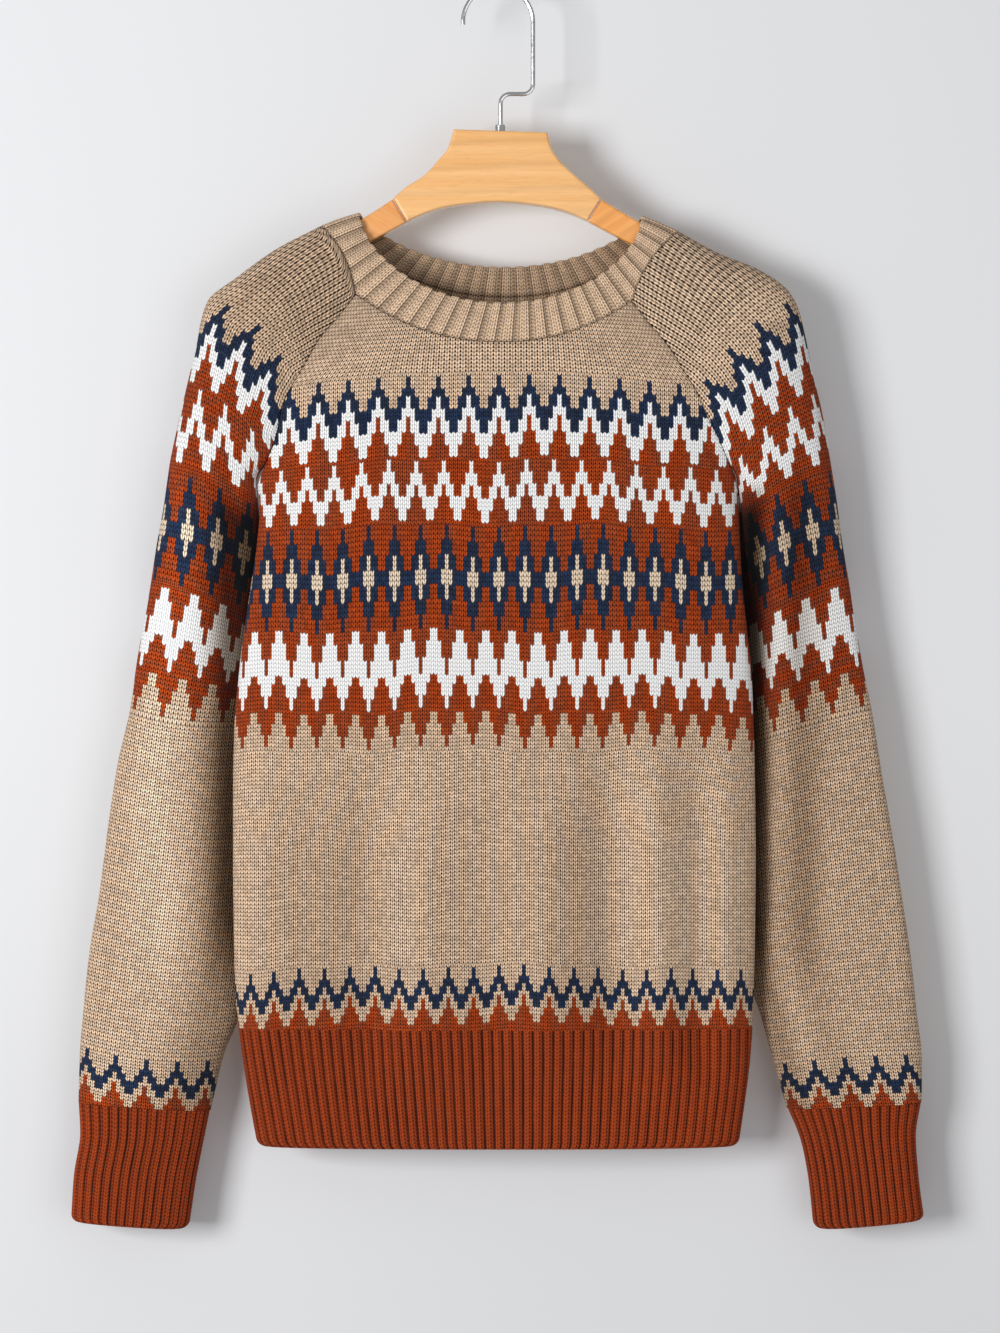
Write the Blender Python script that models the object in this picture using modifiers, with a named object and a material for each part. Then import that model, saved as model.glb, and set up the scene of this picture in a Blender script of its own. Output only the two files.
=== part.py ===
"""Color block sweater on a flat wooden hanger.

Metres, +Z up, the front of the sweater facing -Y.  The origin is the inside of
the hook's crown, where the hanger is held.  Every cloth piece is a closed shell
lofted through named rows or stations and kept 0.3 mm off its neighbours.
"""
import math

import bmesh
import bpy
import numpy as np
from mathutils import Matrix

MM = 0.001

# ---------------------------------------------------------------- cloth sizes
KNIT_WALL = 2.0          # single jersey body and sleeves
RIB_WALL = 2.4           # hem and cuff ribs
COLLAR_WALL = 2.8        # folded neck rib
SEAM_GAP = 0.3           # clear distance left at every seam
EDGE_POWER = 0.85        # below 1 the rounded edges of a section grow fuller
RAGLAN_CLEAR = 0.22      # each side of a raglan seam stands back this far
SAG_POWER = 2.2          # how a yoke row's sag dies away towards its ends
EDGE_CALM = 0.12         # share of the half width with no folds at the edges
BACK_FOLDS = 0.6         # the back's folds as a share of the front's, mirrored

# Yoke rows run from one raglan seam to the other.  Columns: name, left seam x
# and z, right seam x and z, drop of the middle below the seam ends, depth at
# the middle, depth at the seams (all mm).
FRONT_YOKE = [
    ("neck seam", -99, -215, 93, -220, 31, 23.0, 17.0),
    ("below neck", -111, -231, 106.5, -237, 25, 24.5, 18.5),
    ("upper yoke", -124, -246, 119.5, -252.5, 20, 25.5, 19.5),
    ("plain yoke", -136, -267, 130, -270, 14, 26.5, 20.0),
    ("first zigzag", -143.5, -279, 138.5, -283.5, 11, 27.0, 19.5),
    ("white zigzag", -150, -293, 147, -303, 8, 27.5, 18.0),
    ("rust ground", -155, -315, 154.5, -317, 5, 28.0, 15.0),
    ("white peaks", -161.5, -331, 161.5, -332.5, 2, 28.0, 10.0),
    ("armpit", -169, -346.5, 167, -342, 0, 28.0, 0.0),
]
BACK_YOKE = [
    ("neck seam", -90, -192, 90, -197, 25.5, 20.0, 15.5),
    ("below neck", -104, -212, 104, -216, 21, 21.5, 17.0),
    ("upper yoke", -118, -232, 117, -236, 17, 22.5, 18.0),
    ("plain yoke", -131, -255, 129, -258, 12, 23.5, 18.5),
    ("first zigzag", -140, -270, 138, -274, 9, 24.0, 18.0),
    ("white zigzag", -148, -287, 146.5, -296, 7, 24.5, 16.5),
    ("rust ground", -154, -311, 154, -314, 4, 25.0, 14.0),
    ("white peaks", -161, -329.5, 161.5, -331.5, 2, 25.0, 9.5),
    ("armpit", -169, -346.5, 167, -342, 0, 25.0, 0.0),
]
# Body rows below the armpits.  Columns: name, z, left edge, right edge,
# depth of the front, depth of the back.
BODY_ROWS = [
    ("under armpit", -365, -167, 168.5, 28.0, 25.0),
    ("diamonds", -390, -169, 169.5, 27.5, 24.5),
    ("diamond tips", -415, -172.5, 171, 27.0, 24.0),
    ("wide white", -445, -177, 174, 26.5, 23.5),
    ("white tips", -480, -181.5, 177.5, 26.0, 23.0),
    ("rust tips", -515, -184.5, 179, 26.0, 23.0),
    ("waist", -560, -185.5, 180, 26.5, 23.5),
    ("plain", -610, -185.5, 180.5, 27.0, 24.0),
    ("plain low", -660, -185, 180, 27.0, 24.0),
    ("low zigzag", -700, -184, 179, 26.5, 23.5),
    ("rib seam", -727, -181.5, 178, 25.5, 22.5),
]
HEM_ROWS = [
    ("rib seam", -727, -181.5, 178, 25.5, 22.5),
    ("upper rib", -752, -178, 176, 24.5, 22.0),
    ("lower rib", -783, -173, 172, 23.0, 21.0),
    ("hem edge", -810, -168, 168, 22.0, 20.5),
]
# Sleeve stations.  Columns: name, outer edge x and z, front inner x and z,
# back inner x and z, depth front, depth back, seam depth front, seam depth
# back, y of the inner edge, y of the outer edge, bow of the line.
LEFT_SLEEVE = [
    ("neck", -124, -166, -99, -215, -90, -192, 17.5, 16.0, 17.0, 15.5, 0, 0, 5.0),
    ("shoulder in", -155, -182, -111, -231, -104, -212, 19.0, 17.5, 18.5, 17.0, 0, 0, 3.5),
    ("shoulder", -183, -202, -124, -246, -118, -232, 20.3, 18.8, 19.5, 18.0, 0, 0, 2.0),
    ("shoulder tip", -203, -218, -136, -267, -131, -255, 21.0, 19.5, 20.0, 18.5, 0, 0, 1.0),
    ("first zigzag", -208, -233, -143.5, -279, -140, -270, 21.5, 20.0, 19.5, 18.0, 0, 0.5, 0),
    ("white zigzag", -211, -249, -150, -293, -148, -287, 21.5, 20.0, 18.0, 16.5, 0, 1.5, 0),
    ("rust ground", -218, -278, -155, -315, -154, -311, 21.0, 20.0, 15.0, 14.0, 0, 2.5, 0),
    ("white peaks", -225.5, -310, -161.5, -331, -161, -329.5, 20.5, 19.5, 10.0, 9.5, 0, 4, 0),
    ("armpit", -230.5, -334, -169, -346.5, -169, -346.5, 20.0, 19.5, 0, 0, 0, 5, 0),
    ("diamond top", -235, -365, -168, -382, -168, -382, 19.5, 19.0, 0, 0, 9, 6, 0),
    ("diamonds", -239.5, -389, -168, -407, -168, -407, 19.0, 19.0, 0, 0, 14, 7, 0),
    ("diamond tips", -245, -424, -169.5, -440, -169.5, -440, 18.5, 18.5, 0, 0, 18, 8, 0),
    ("white tips", -253.5, -471, -171, -488, -171, -488, 18.0, 18.0, 0, 0, 20, 8, 0),
    ("rust tips", -258, -503, -172, -516, -172, -516, 18.0, 18.0, 0, 0, 20.5, 8, 0),
    ("elbow", -267, -542.5, -173, -554, -173, -554, 17.5, 17.5, 0, 0, 20.5, 8, 0),
    ("forearm", -273, -581, -173.5, -593, -173.5, -593, 17.5, 17.5, 0, 0, 20.5, 8, 0),
    ("lower arm", -280, -634, -173.5, -645, -173.5, -645, 17.0, 17.0, 0, 0, 20.5, 8, 0),
    ("full arm", -287, -676, -175, -685, -175, -685, 17.0, 17.0, 0, 0, 20, 8, 0),
    ("above wrist", -291, -715, -182, -720, -182, -720, 17.0, 17.0, 0, 0, 18, 8, 0),
    ("low zigzag", -293.5, -746, -192.5, -746, -192.5, -746, 17.0, 17.0, 0, 0, 15, 8, 0),
    ("cuff seam", -294.5, -780, -202, -786, -202, -786, 16.0, 16.0, 0, 0, 12, 8, 0),
]
RIGHT_SLEEVE = [
    ("neck", 126.5, -170, 93, -220, 90, -197, 17.5, 16.0, 17.0, 15.5, 0, 0, 5.0),
    ("shoulder in", 155.5, -185.5, 106.5, -237, 104, -216, 19.0, 17.5, 18.5, 17.0, 0, 0, 3.5),
    ("shoulder", 181.5, -196, 119.5, -252.5, 117, -236, 20.3, 18.8, 19.5, 18.0, 0, 0, 2.0),
    ("shoulder tip", 203.5, -211.5, 130, -270, 129, -258, 21.0, 19.5, 20.0, 18.5, 0, 0, 1.0),
    ("first zigzag", 210.5, -224.5, 138.5, -283.5, 138, -274, 21.5, 20.0, 19.5, 18.0, 0, 0.5, 0),
    ("white zigzag", 215, -242, 147, -303, 146.5, -296, 21.5, 20.0, 18.0, 16.5, 0, 1.5, 0),
    ("rust ground", 220, -266.5, 154.5, -317, 154, -314, 21.0, 20.0, 15.0, 14.0, 0, 2.5, 0),
    ("white peaks", 227, -295.5, 161.5, -332.5, 161.5, -331.5, 20.5, 19.5, 10.0, 9.5, 0, 4, 0),
    ("armpit", 231.5, -320.5, 167, -342, 167, -342, 20.0, 19.5, 0, 0, 0, 5, 0),
    ("diamond top", 237.5, -357.5, 171, -377, 171, -377, 19.5, 19.0, 0, 0, 9, 6, 0),
    ("diamonds", 241, -383.5, 172, -406.5, 172, -406.5, 19.0, 19.0, 0, 0, 14, 7, 0),
    ("diamond tips", 246.5, -416, 173.5, -440, 173.5, -440, 18.5, 18.5, 0, 0, 18, 8, 0),
    ("white tips", 256, -474, 173.5, -495, 173.5, -495, 18.0, 18.0, 0, 0, 20, 8, 0),
    ("rust tips", 262, -503, 173, -524, 173, -524, 18.0, 18.0, 0, 0, 20.5, 8, 0),
    ("elbow", 269.5, -550, 172, -567.5, 172, -567.5, 17.5, 17.5, 0, 0, 20.5, 8, 0),
    ("forearm", 276, -587, 171.5, -602.5, 171.5, -602.5, 17.5, 17.5, 0, 0, 20.5, 8, 0),
    ("lower arm", 283.5, -635, 171.5, -647.5, 171.5, -647.5, 17.0, 17.0, 0, 0, 20.5, 8, 0),
    ("full arm", 290, -680, 175, -688, 175, -688, 17.0, 17.0, 0, 0, 20, 8, 0),
    ("above wrist", 294, -718, 185.5, -721.5, 185.5, -721.5, 17.0, 17.0, 0, 0, 18, 8, 0),
    ("low zigzag", 297.5, -748, 193, -749.5, 193, -749.5, 17.0, 17.0, 0, 0, 15, 8, 0),
    ("cuff seam", 297.5, -780, 203, -784.5, 203, -784.5, 16.0, 16.0, 0, 0, 12, 8, 0),
]
# Cuff stations.  Columns: name, outer x and z, inner x and z, depth, y inner,
# y outer.
LEFT_CUFF = [
    ("cuff seam", -294, -780.4, -203, -786.3, 15.5, 12, 8),
    ("upper cuff", -293, -802, -206.5, -804, 14.5, 11, 8),
    ("lower cuff", -297.5, -832, -212.5, -835, 14.0, 10, 8),
    ("cuff edge", -299.5, -864, -217.5, -869, 13.5, 10, 8),
]
RIGHT_CUFF = [
    ("cuff seam", 296.5, -780.4, 204, -784.8, 15.5, 12, 8),
    ("upper cuff", 293, -804, 213, -807, 14.5, 11, 8),
    ("lower cuff", 295, -832, 218.5, -835, 14.0, 10, 8),
    ("cuff edge", 299, -863, 222, -869, 13.5, 10, 8),
]
# Soft folds of the front.  Columns: name, x at the waist, lean in x per mm of
# height, half width, depth (minus sinks), top z, bottom z.
FRONT_FOLDS = [
    ("left hollow", -96, 0.00, 26, -2.6, -500, -860),
    ("left swell", -40, 0.02, 24, 1.6, -520, -860),
    ("right hollow", 80, -0.10, 19, -4.4, -470, -880),
    ("right swell", 113, -0.06, 16, 2.0, -500, -880),
    ("side hollow", 140, 0.00, 14, -2.4, -520, -860),
]
FOLD_REACH = 60          # mm over which a fold fades in at its ends
WAIST_Z = -610           # height at which the folds' x is given

# Column stops across half a row, from the middle to the edge.
HALF_STOPS = [0, 0.11, 0.22, 0.33, 0.44, 0.55, 0.66, 0.76, 0.85, 0.92, 0.965, 0.99, 1.0]
# Column stops across one face of a sleeve, from the inner to the outer edge.
SLEEVE_STOPS = [0, 0.012, 0.05, 0.14, 0.28, 0.44, 0.6, 0.76, 0.89, 0.965, 0.992, 1.0]

# --------------------------------------------------------------- collar sizes
COLLAR_X = 98.5          # half width of the opening at the top edge
COLLAR_TOP = -157.4      # height of the top edge over the shoulders
COLLAR_TILT = 1.2        # left shoulder higher, right shoulder lower by this
COLLAR_DROP_FRONT = 63.5
COLLAR_DROP_BACK = 35.5
COLLAR_Y_FRONT = 19.0
COLLAR_Y_BACK = 16.0
COLLAR_SADDLE = 9.2      # half width of the part lying over the hanger arm
COLLAR_ROLL = 6.0        # drop over which that part reaches its width
COLLAR_MIDDLE = 2.0      # x of the middle of the opening
COLLAR_KEEP = [4, 5, 6, 7, 8, 9, 11]     # sleeve stops the rib follows
COLLAR_GAP = 0.5         # seam gap, wider because its facets are coarser

# --------------------------------------------------------------- hanger sizes
WOOD_BLOCK = 13.0        # thickness of the middle block
WOOD_ARM = 11.0          # thickness of the arms
WOOD_ROUND = 1.8         # rounding of the wood edges
WIRE = 3.2               # hook wire diameter
HOOK_RADIUS = 24.5       # centreline of the hook's curl
HOOK_BEND = 6.5          # centreline radius of the two bends below it
SHANK_FOOT = -67.0       # height where the shank starts to bend in
STEP_DOWN = -80.0        # height where the stem starts below the step
STEM_X = 1.8             # the stem stands this far right of the origin
STEM_FOOT = -99.4        # the stem ends just over the block
FERRULE_BORE = 1.9       # inner radius of the ferrule
FERRULE_RADIUS = 3.7
FERRULE_CHAMFER = 0.5
FERRULE_TALL = 4.3
FERRULE_SIDES = 24
# Outline of the block, clockwise seen from the front: name, x, z.
BLOCK_OUTLINE = [
    ("top left", -30.8, -98.7), ("top right", 34.6, -100.8),
    ("right neck", 37.5, -112), ("right waist", 43.5, -121),
    ("right shoulder", 54, -131), ("right slope", 64, -139.5),
    ("right joint top", 72.2, -147.4), ("right joint foot", 62.6, -162.6),
    ("arch right", 49, -156.8), ("arch near right", 30.8, -152.2),
    ("arch middle", 0.7, -149.3), ("arch near left", -31.5, -152.2),
    ("arch left", -49, -156.8), ("left joint foot", -63.6, -163.4),
    ("left joint top", -73.2, -147), ("left slope", -64, -139),
    ("left shoulder", -51, -130.5), ("left waist", -41, -119.5),
    ("left neck", -35, -112),
]
# Arms: name, x, top z, bottom z, from the joint to the tip.
LEFT_ARM = [
    ("joint", -73.6, -147.6, -163.8), ("neck", -97, -162.3, -181),
    ("collar", -124, -172.6, -192.5), ("middle", -155, -187.3, -208),
    ("outer", -183, -207.6, -227), ("near tip", -195, -217.3, -235),
]
RIGHT_ARM = [
    ("joint", 72.6, -147.8, -163.0), ("neck", 99, -163.4, -182),
    ("collar", 126.5, -174.9, -195.5), ("middle", 155.5, -189.9, -211),
    ("outer", 181.5, -200.6, -222), ("near tip", 195, -210.2, -230),
]
JOINT_LEAN = 9.5         # how far the joint's foot stands in from its top

QUARTER_TURN = Matrix.Rotation(math.pi / 2, 3, "X")
ROOT = bpy.data.collections.new("color_block_sweater")


def clear_scene():
    """Take every object out of the scene."""
    for thing in list(bpy.data.objects):
        bpy.data.objects.remove(thing, do_unlink=True)
    bpy.context.scene.collection.children.link(ROOT)


def material(name, colour, roughness, metallic=0.0):
    """A plain Principled material of one colour."""
    made = bpy.data.materials.new(name)
    made.use_nodes = True
    shader = made.node_tree.nodes["Principled BSDF"]
    shader.inputs["Base Color"].default_value = (*colour, 1.0)
    shader.inputs["Roughness"].default_value = roughness
    shader.inputs["Metallic"].default_value = metallic
    return made


def add_mesh(name, points, faces, look):
    """One named object from points in millimetres and faces."""
    mesh = bpy.data.meshes.new(name)
    mesh.from_pydata([tuple(p) for p in np.asarray(points) * MM], [], faces)
    mesh.validate()
    shape = bmesh.new()
    shape.from_mesh(mesh)
    bmesh.ops.recalc_face_normals(shape, faces=shape.faces)
    shape.to_mesh(mesh)
    shape.free()
    mesh.shade_smooth()
    thing = bpy.data.objects.new(name, mesh)
    thing.data.materials.append(look)
    ROOT.objects.link(thing)
    return thing


def shell(name, outer, inner, look, ring=False):
    """Close the space between two grids of rows and columns into one solid."""
    rows, columns = outer.shape[:2]
    points = np.concatenate([outer.reshape(-1, 3), inner.reshape(-1, 3)])
    back = rows * columns
    faces = []
    last = columns if ring else columns - 1
    for i in range(rows - 1):
        for j in range(last):
            k = (j + 1) % columns
            a, b = i * columns + j, i * columns + k
            c, d = a + columns, b + columns
            faces.append((a, b, d, c))
            faces.append((back + a, back + c, back + d, back + b))
    for i in (0, rows - 1):
        for j in range(last):
            k = (j + 1) % columns
            a, b = i * columns + j, i * columns + k
            faces.append((a, back + a, back + b, b))
    if not ring:
        for j in (0, columns - 1):
            for i in range(rows - 1):
                a, c = i * columns + j, (i + 1) * columns + j
                faces.append((a, c, back + c, back + a))
    return add_mesh(name, points, faces, look)


def oval(reach, cut):
    """Across and depth fractions of an oval at fractions of the way out.

    reach 0 is the cut (or the middle), 1 the rounded edge; cut is how far the
    oval carries on past its middle before the seam, as a share of its half.
    """
    across = np.asarray(reach) * (1 + cut) - cut
    depth = np.clip(1 - np.abs(across) ** (2 / EDGE_POWER), 0, 1) ** (EDGE_POWER / 2)
    return across, depth


def cut_share(seam_depth, depth):
    """Where an oval of this depth has the seam's depth, as a share of its half."""
    rise = min(seam_depth / depth, 0.98) ** (2 / EDGE_POWER)
    return (1 - rise) ** (EDGE_POWER / 2)


def fold_at(x, z):
    """Depth the soft folds add to the front at a place."""
    added = np.zeros_like(x)
    for _, x0, lean, wide, deep, top, foot in FRONT_FOLDS:
        off = (x - x0 - lean * (z - WAIST_Z)) / wide
        fade = np.clip((top - z) / FOLD_REACH, 0, 1) * np.clip((z - foot) / FOLD_REACH, 0, 1)
        fade = fade * fade * (3 - 2 * fade)
        added += deep * np.exp(-off * off) * fade
    return added


def swell_at(x, z, along, side):
    """Folds on one side of the body, calmed towards its edges."""
    calm = np.clip((1 - np.abs(along)) / EDGE_CALM, 0, 1)
    if side < 0:
        return fold_at(x, z) * calm
    return fold_at(-x, z) * calm * BACK_FOLDS


def panel_row(left, right, sag, depth, seam_depth, wall, side):
    """One row of the front (side -1) or back (side 1), from left to right."""
    share = cut_share(seam_depth, depth)
    stops = np.array(HALF_STOPS)
    across, rise = stops * share, oval(stops * share, 0)[1]
    middle = (np.array(left) + np.array(right)) / 2
    half = (right[0] - left[0]) / 2
    full = half / share
    along = np.concatenate([-across[::-1], across[1:]])
    high = np.concatenate([rise[::-1], rise[1:]])
    x = middle[0] + along * (full - wall)
    span = along / share
    z = middle[1] + span * (right[1] - left[1]) / 2 - sag * (1 - np.abs(span) ** SAG_POWER)
    y = side * (SEAM_GAP / 2 + (depth - wall) * high + swell_at(x, z, along, side))
    return np.stack([x, y, z], axis=1)


def panel(yoke, rows, side, wall):
    """The grid of a whole front or back at one depth in the cloth."""
    depth_at = 4 if side < 0 else 5
    grid = []
    for index, (_, lx, lz, rx, rz, sag, depth, seam) in enumerate(yoke):
        lift = SEAM_GAP if index == 0 else 0
        left = (lx + RAGLAN_CLEAR, lz - lift)
        right = (rx - RAGLAN_CLEAR, rz - lift)
        grid.append(panel_row(left, right, sag, depth, seam, wall, side))
    for row in rows:
        z = row[1] + (SEAM_GAP / 2 if row[0] == "rib seam" else 0)
        grid.append(panel_row((row[2], z), (row[3], z), 0, row[depth_at], 0, wall, side))
    return np.array(grid)


def sleeve_line(station, wall):
    """One station of a sleeve: front inner edge, outer edge, back inner edge."""
    _, ox, oz, fx, fz, bx, bz, df, db, sf, sb, y_in, y_out, bow = station
    lean = math.copysign(1, ox)
    line = []
    for side, ix, iz, depth, seam in ((-1, fx, fz, df, sf), (1, bx, bz, db, sb)):
        cut = cut_share(seam, depth)
        across, rise = oval(SLEEVE_STOPS, cut)
        inner, outer = np.array([ix, iz]), np.array([ox, oz])
        way = outer - inner
        length = np.linalg.norm(way)
        way = way / length
        half = length / (1 + cut)
        centre = outer - way * half
        spots = centre + np.outer(across * (half - wall), way)
        reach = np.array(SLEEVE_STOPS)
        lift = np.array([way[1], -way[0]]) * -lean
        spots = spots + np.outer(bow * 4 * reach * (1 - reach), lift)
        y = y_in + (y_out - y_in) * reach + side * (SEAM_GAP / 2 + (depth - wall) * rise)
        face = np.stack([spots[:, 0], y, spots[:, 1]], axis=1)
        if y_in == 0:
            face[:, 0] += lean * RAGLAN_CLEAR * (1 - reach)
        line.append(face)
    return line


def sleeve_grid(stations, wall):
    """The grid of a sleeve, round from the front seam to the back seam."""
    grid = []
    for index, station in enumerate(stations):
        front, back = sleeve_line(station, wall)
        row = np.concatenate([front[:-1], back[::-1]])
        tip = len(front) - 1
        row[tip, 1] = (front[-1, 1] + back[-1, 1]) / 2
        grid.append(row)
    grid = np.array(grid)
    lean = math.copysign(1, stations[0][1])
    grid[0, :, 0] += lean * SEAM_GAP
    grid[-1, :, 2] += SEAM_GAP / 2
    return grid


def body_ring(row, wall):
    """One closed ring round the hem rib."""
    _, z, left, right, front, back = row
    across, rise = oval(np.array(HALF_STOPS), 0)
    along = np.concatenate([-across[::-1], across[1:]])
    high = np.concatenate([rise[::-1], rise[1:]])
    x = (left + right) / 2 + along * ((right - left) / 2 - wall)
    level = np.full_like(x, z)
    near = -((front - wall) * high + swell_at(x, level, along, -1))
    far = (back - wall) * high + swell_at(x, level, along, 1)
    ahead = np.stack([x, near, level], axis=1)
    behind = np.stack([x, far, level], axis=1)[::-1]
    return np.concatenate([ahead, behind[1:-1]])


def cuff_ring(row, wall):
    """One closed ring round a cuff."""
    _, ox, oz, ix, iz, depth, y_in, y_out = row
    reach = np.array(SLEEVE_STOPS)
    across, rise = oval(reach, 1)
    inner, outer = np.array([ix, iz]), np.array([ox, oz])
    way = (outer - inner) / np.linalg.norm(outer - inner)
    half = np.linalg.norm(outer - inner) / 2
    spots = (inner + outer) / 2 + np.outer(across * (half - wall), way)
    mid = y_in + (y_out - y_in) * reach
    near = np.stack([spots[:, 0], mid - (depth - wall) * rise, spots[:, 1]], axis=1)
    far = np.stack([spots[:, 0], mid + (depth - wall) * rise, spots[:, 1]], axis=1)[::-1]
    return np.concatenate([near, far[1:-1]])


def collar_seam(wall):
    """The four quarters of the line where the neck rib joins the pieces below.

    Each quarter runs from a shoulder to the middle of the front or the back.
    """
    middle = len(HALF_STOPS) - 1
    quarters = []
    for side, yoke, face in ((-1, FRONT_YOKE, 0), (1, BACK_YOKE, 1)):
        row = panel(yoke[:1], [], side, wall)[0]
        for stations, half in ((RIGHT_SLEEVE, row[middle:][::-1]), (LEFT_SLEEVE, row[:middle + 1])):
            line = sleeve_line(stations[0], wall)
            near = line[face][COLLAR_KEEP][::-1]
            near[0] = (line[0][-1] + line[1][-1]) / 2
            quarters.append(np.concatenate([near, half[::2]]))
    return quarters


def top_quarter(side, across, shares):
    """Points along a quarter of the collar's top edge at shares of its length."""
    turn = np.linspace(0, 1, 200) ** 1.6 * math.pi / 2
    sine = np.sin(turn)
    if side < 0:
        drop, far = COLLAR_DROP_FRONT * sine ** 1.15, COLLAR_Y_FRONT
    else:
        drop, far = COLLAR_DROP_BACK * sine ** 1.5, COLLAR_Y_BACK
    saddle = COLLAR_SADDLE * np.clip(drop / COLLAR_ROLL, 0, 1) ** 0.5
    y = side * (saddle + (far - COLLAR_SADDLE) * sine ** 1.2)
    level = COLLAR_TOP - across * COLLAR_TILT * np.cos(turn) - drop
    line = np.stack([COLLAR_MIDDLE + across * COLLAR_X * np.cos(turn), y, level], axis=1)
    run = np.concatenate([[0], np.cumsum(np.linalg.norm(np.diff(line, axis=0), axis=1))])
    return np.stack([np.interp(shares * run[-1], run, line[:, k]) for k in range(3)], axis=1)


def collar_grids():
    """Outer and inner grids of the neck rib, from the seam to the top edge."""
    outer_seam, inner_seam, top = [], [], []
    quarters = zip(collar_seam(0), collar_seam(COLLAR_WALL))
    for index, (quarter, inside) in enumerate(quarters):
        run = np.concatenate([[0], np.cumsum(np.linalg.norm(np.diff(quarter, axis=0), axis=1))])
        edge = top_quarter((-1, -1, 1, 1)[index], (1, -1, 1, -1)[index], run / run[-1])
        outer_seam.append(quarter)
        inner_seam.append(inside)
        top.append(edge)
    order = ((1, 1), (0, -1), (2, 1), (3, -1))
    rings = []
    for parts in (outer_seam, inner_seam, top):
        loop = [parts[index][::way][:-1] for index, way in order]
        rings.append(np.concatenate(loop))
    seam, inside, top = rings
    way = top - seam
    way /= np.linalg.norm(way, axis=1, keepdims=True)
    seam = seam + way * COLLAR_GAP
    inside = inside + way * COLLAR_GAP
    grid = np.array([seam + (top - seam) * share for share in (0, 0.5, 1)])
    round_way = np.roll(grid, -1, axis=1) - np.roll(grid, 1, axis=1)
    up_way = np.repeat((top - seam)[None], 3, axis=0)
    normal = np.cross(round_way, up_way)
    normal /= np.linalg.norm(normal, axis=2, keepdims=True)
    under = grid - normal * COLLAR_WALL
    under[0] = inside
    return grid, under


def outline_board(name, outline, thickness, look):
    """A flat board with rounded edges from an outline in x and z."""
    curve = bpy.data.curves.new(name, "CURVE")
    curve.dimensions = "2D"
    curve.fill_mode = "BOTH"
    curve.extrude = (thickness / 2 - WOOD_ROUND) * MM
    curve.bevel_depth = WOOD_ROUND * MM
    curve.bevel_resolution = 2
    curve.offset = -WOOD_ROUND * MM
    line = curve.splines.new("POLY")
    line.points.add(len(outline) - 1)
    for point, (x, z) in zip(line.points, outline):
        point.co = (x * MM, z * MM, 0, 1)
    line.use_cyclic_u = True
    draft = bpy.data.objects.new(name + "_line", curve)
    bpy.context.scene.collection.objects.link(draft)
    bpy.context.view_layer.update()
    mesh = bpy.data.meshes.new_from_object(draft.evaluated_get(bpy.context.evaluated_depsgraph_get()))
    bpy.data.objects.remove(draft, do_unlink=True)
    shape = bmesh.new()
    shape.from_mesh(mesh)
    bmesh.ops.remove_doubles(shape, verts=shape.verts, dist=0.00001)
    bmesh.ops.rotate(shape, verts=shape.verts, cent=(0, 0, 0), matrix=QUARTER_TURN)
    bmesh.ops.recalc_face_normals(shape, faces=shape.faces)
    shape.to_mesh(mesh)
    shape.free()
    mesh.name = name
    thing = bpy.data.objects.new(name, mesh)
    thing.data.materials.append(look)
    ROOT.objects.link(thing)
    return thing


def smooth_line(points, steps):
    """A rounder line through points, by Catmull-Rom, ends kept."""
    points = np.asarray(points, float)
    ends = np.concatenate([[2 * points[0] - points[1]], points, [2 * points[-1] - points[-2]]])
    made = []
    for a, b, c, d in zip(ends[:-3], ends[1:-2], ends[2:-1], ends[3:]):
        for t in np.linspace(0, 1, steps, endpoint=False):
            part = 2 * b + (c - a) * t + (2 * a - 5 * b + 4 * c - d) * t ** 2
            part = part + (3 * b - a - 3 * c + d) * t ** 3
            made.append(part / 2)
    made.append(points[-1])
    return made


def arm_outline(rows):
    """The closed outline of one arm, its joint leaning and its tip round."""
    lean = math.copysign(1, rows[0][1])
    top = smooth_line([(x, up) for _, x, up, _ in rows], 3)
    foot = smooth_line([(x - lean * JOINT_LEAN * (i == 0), low)
                        for i, (_, x, _, low) in enumerate(rows)], 3)
    up, low = np.array(top[-1]), np.array(foot[-1])
    middle, reach = (up + low) / 2, np.linalg.norm(up - low) / 2
    first = math.atan2(up[1] - middle[1], up[0] - middle[0])
    tip = []
    for share in (0.2, 0.4, 0.6, 0.8):
        angle = first - lean * math.pi * share
        tip.append(middle + reach * 0.8 * np.array([math.cos(angle), math.sin(angle)]))
    return [tuple(p) for p in top] + [tuple(p) for p in tip] + [tuple(p) for p in foot[::-1]]


def block_outline():
    """The closed outline of the hanger's middle block."""
    spots = [(x, z) for _, x, z in BLOCK_OUTLINE]
    right = smooth_line(spots[1:7], 3)
    arch = smooth_line(spots[7:14], 3)
    left = smooth_line(spots[14:] + spots[:1], 3)
    return [tuple(p) for p in right + arch + left]


def arc(cx, cz, radius, start, end, steps):
    """Points on an arc, angles in degrees from +X."""
    made = []
    for share in np.linspace(0, 1, steps):
        angle = math.radians(start + (end - start) * share)
        made.append((cx + radius * math.cos(angle), cz + radius * math.sin(angle)))
    return made


def hook(look):
    """The bent wire: curl, shank, step and stem."""
    middle = WIRE / 2 - HOOK_RADIUS
    path = arc(0, middle, HOOK_RADIUS, 185, 0, 26)
    path += arc(HOOK_RADIUS - HOOK_BEND, SHANK_FOOT, HOOK_BEND, 0, -90, 6)
    path += arc(STEM_X + HOOK_BEND, STEP_DOWN, HOOK_BEND, 90, 180, 6)
    path.append((STEM_X, STEM_FOOT))
    curve = bpy.data.curves.new("hook_wire", "CURVE")
    curve.dimensions = "3D"
    curve.bevel_depth = WIRE / 2 * MM
    curve.bevel_resolution = 3
    curve.use_fill_caps = True
    line = curve.splines.new("POLY")
    line.points.add(len(path) - 1)
    for point, (x, z) in zip(line.points, path):
        point.co = (x * MM, 0, z * MM, 1)
    thing = bpy.data.objects.new("hook_wire", curve)
    thing.data.materials.append(look)
    ROOT.objects.link(thing)


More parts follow.
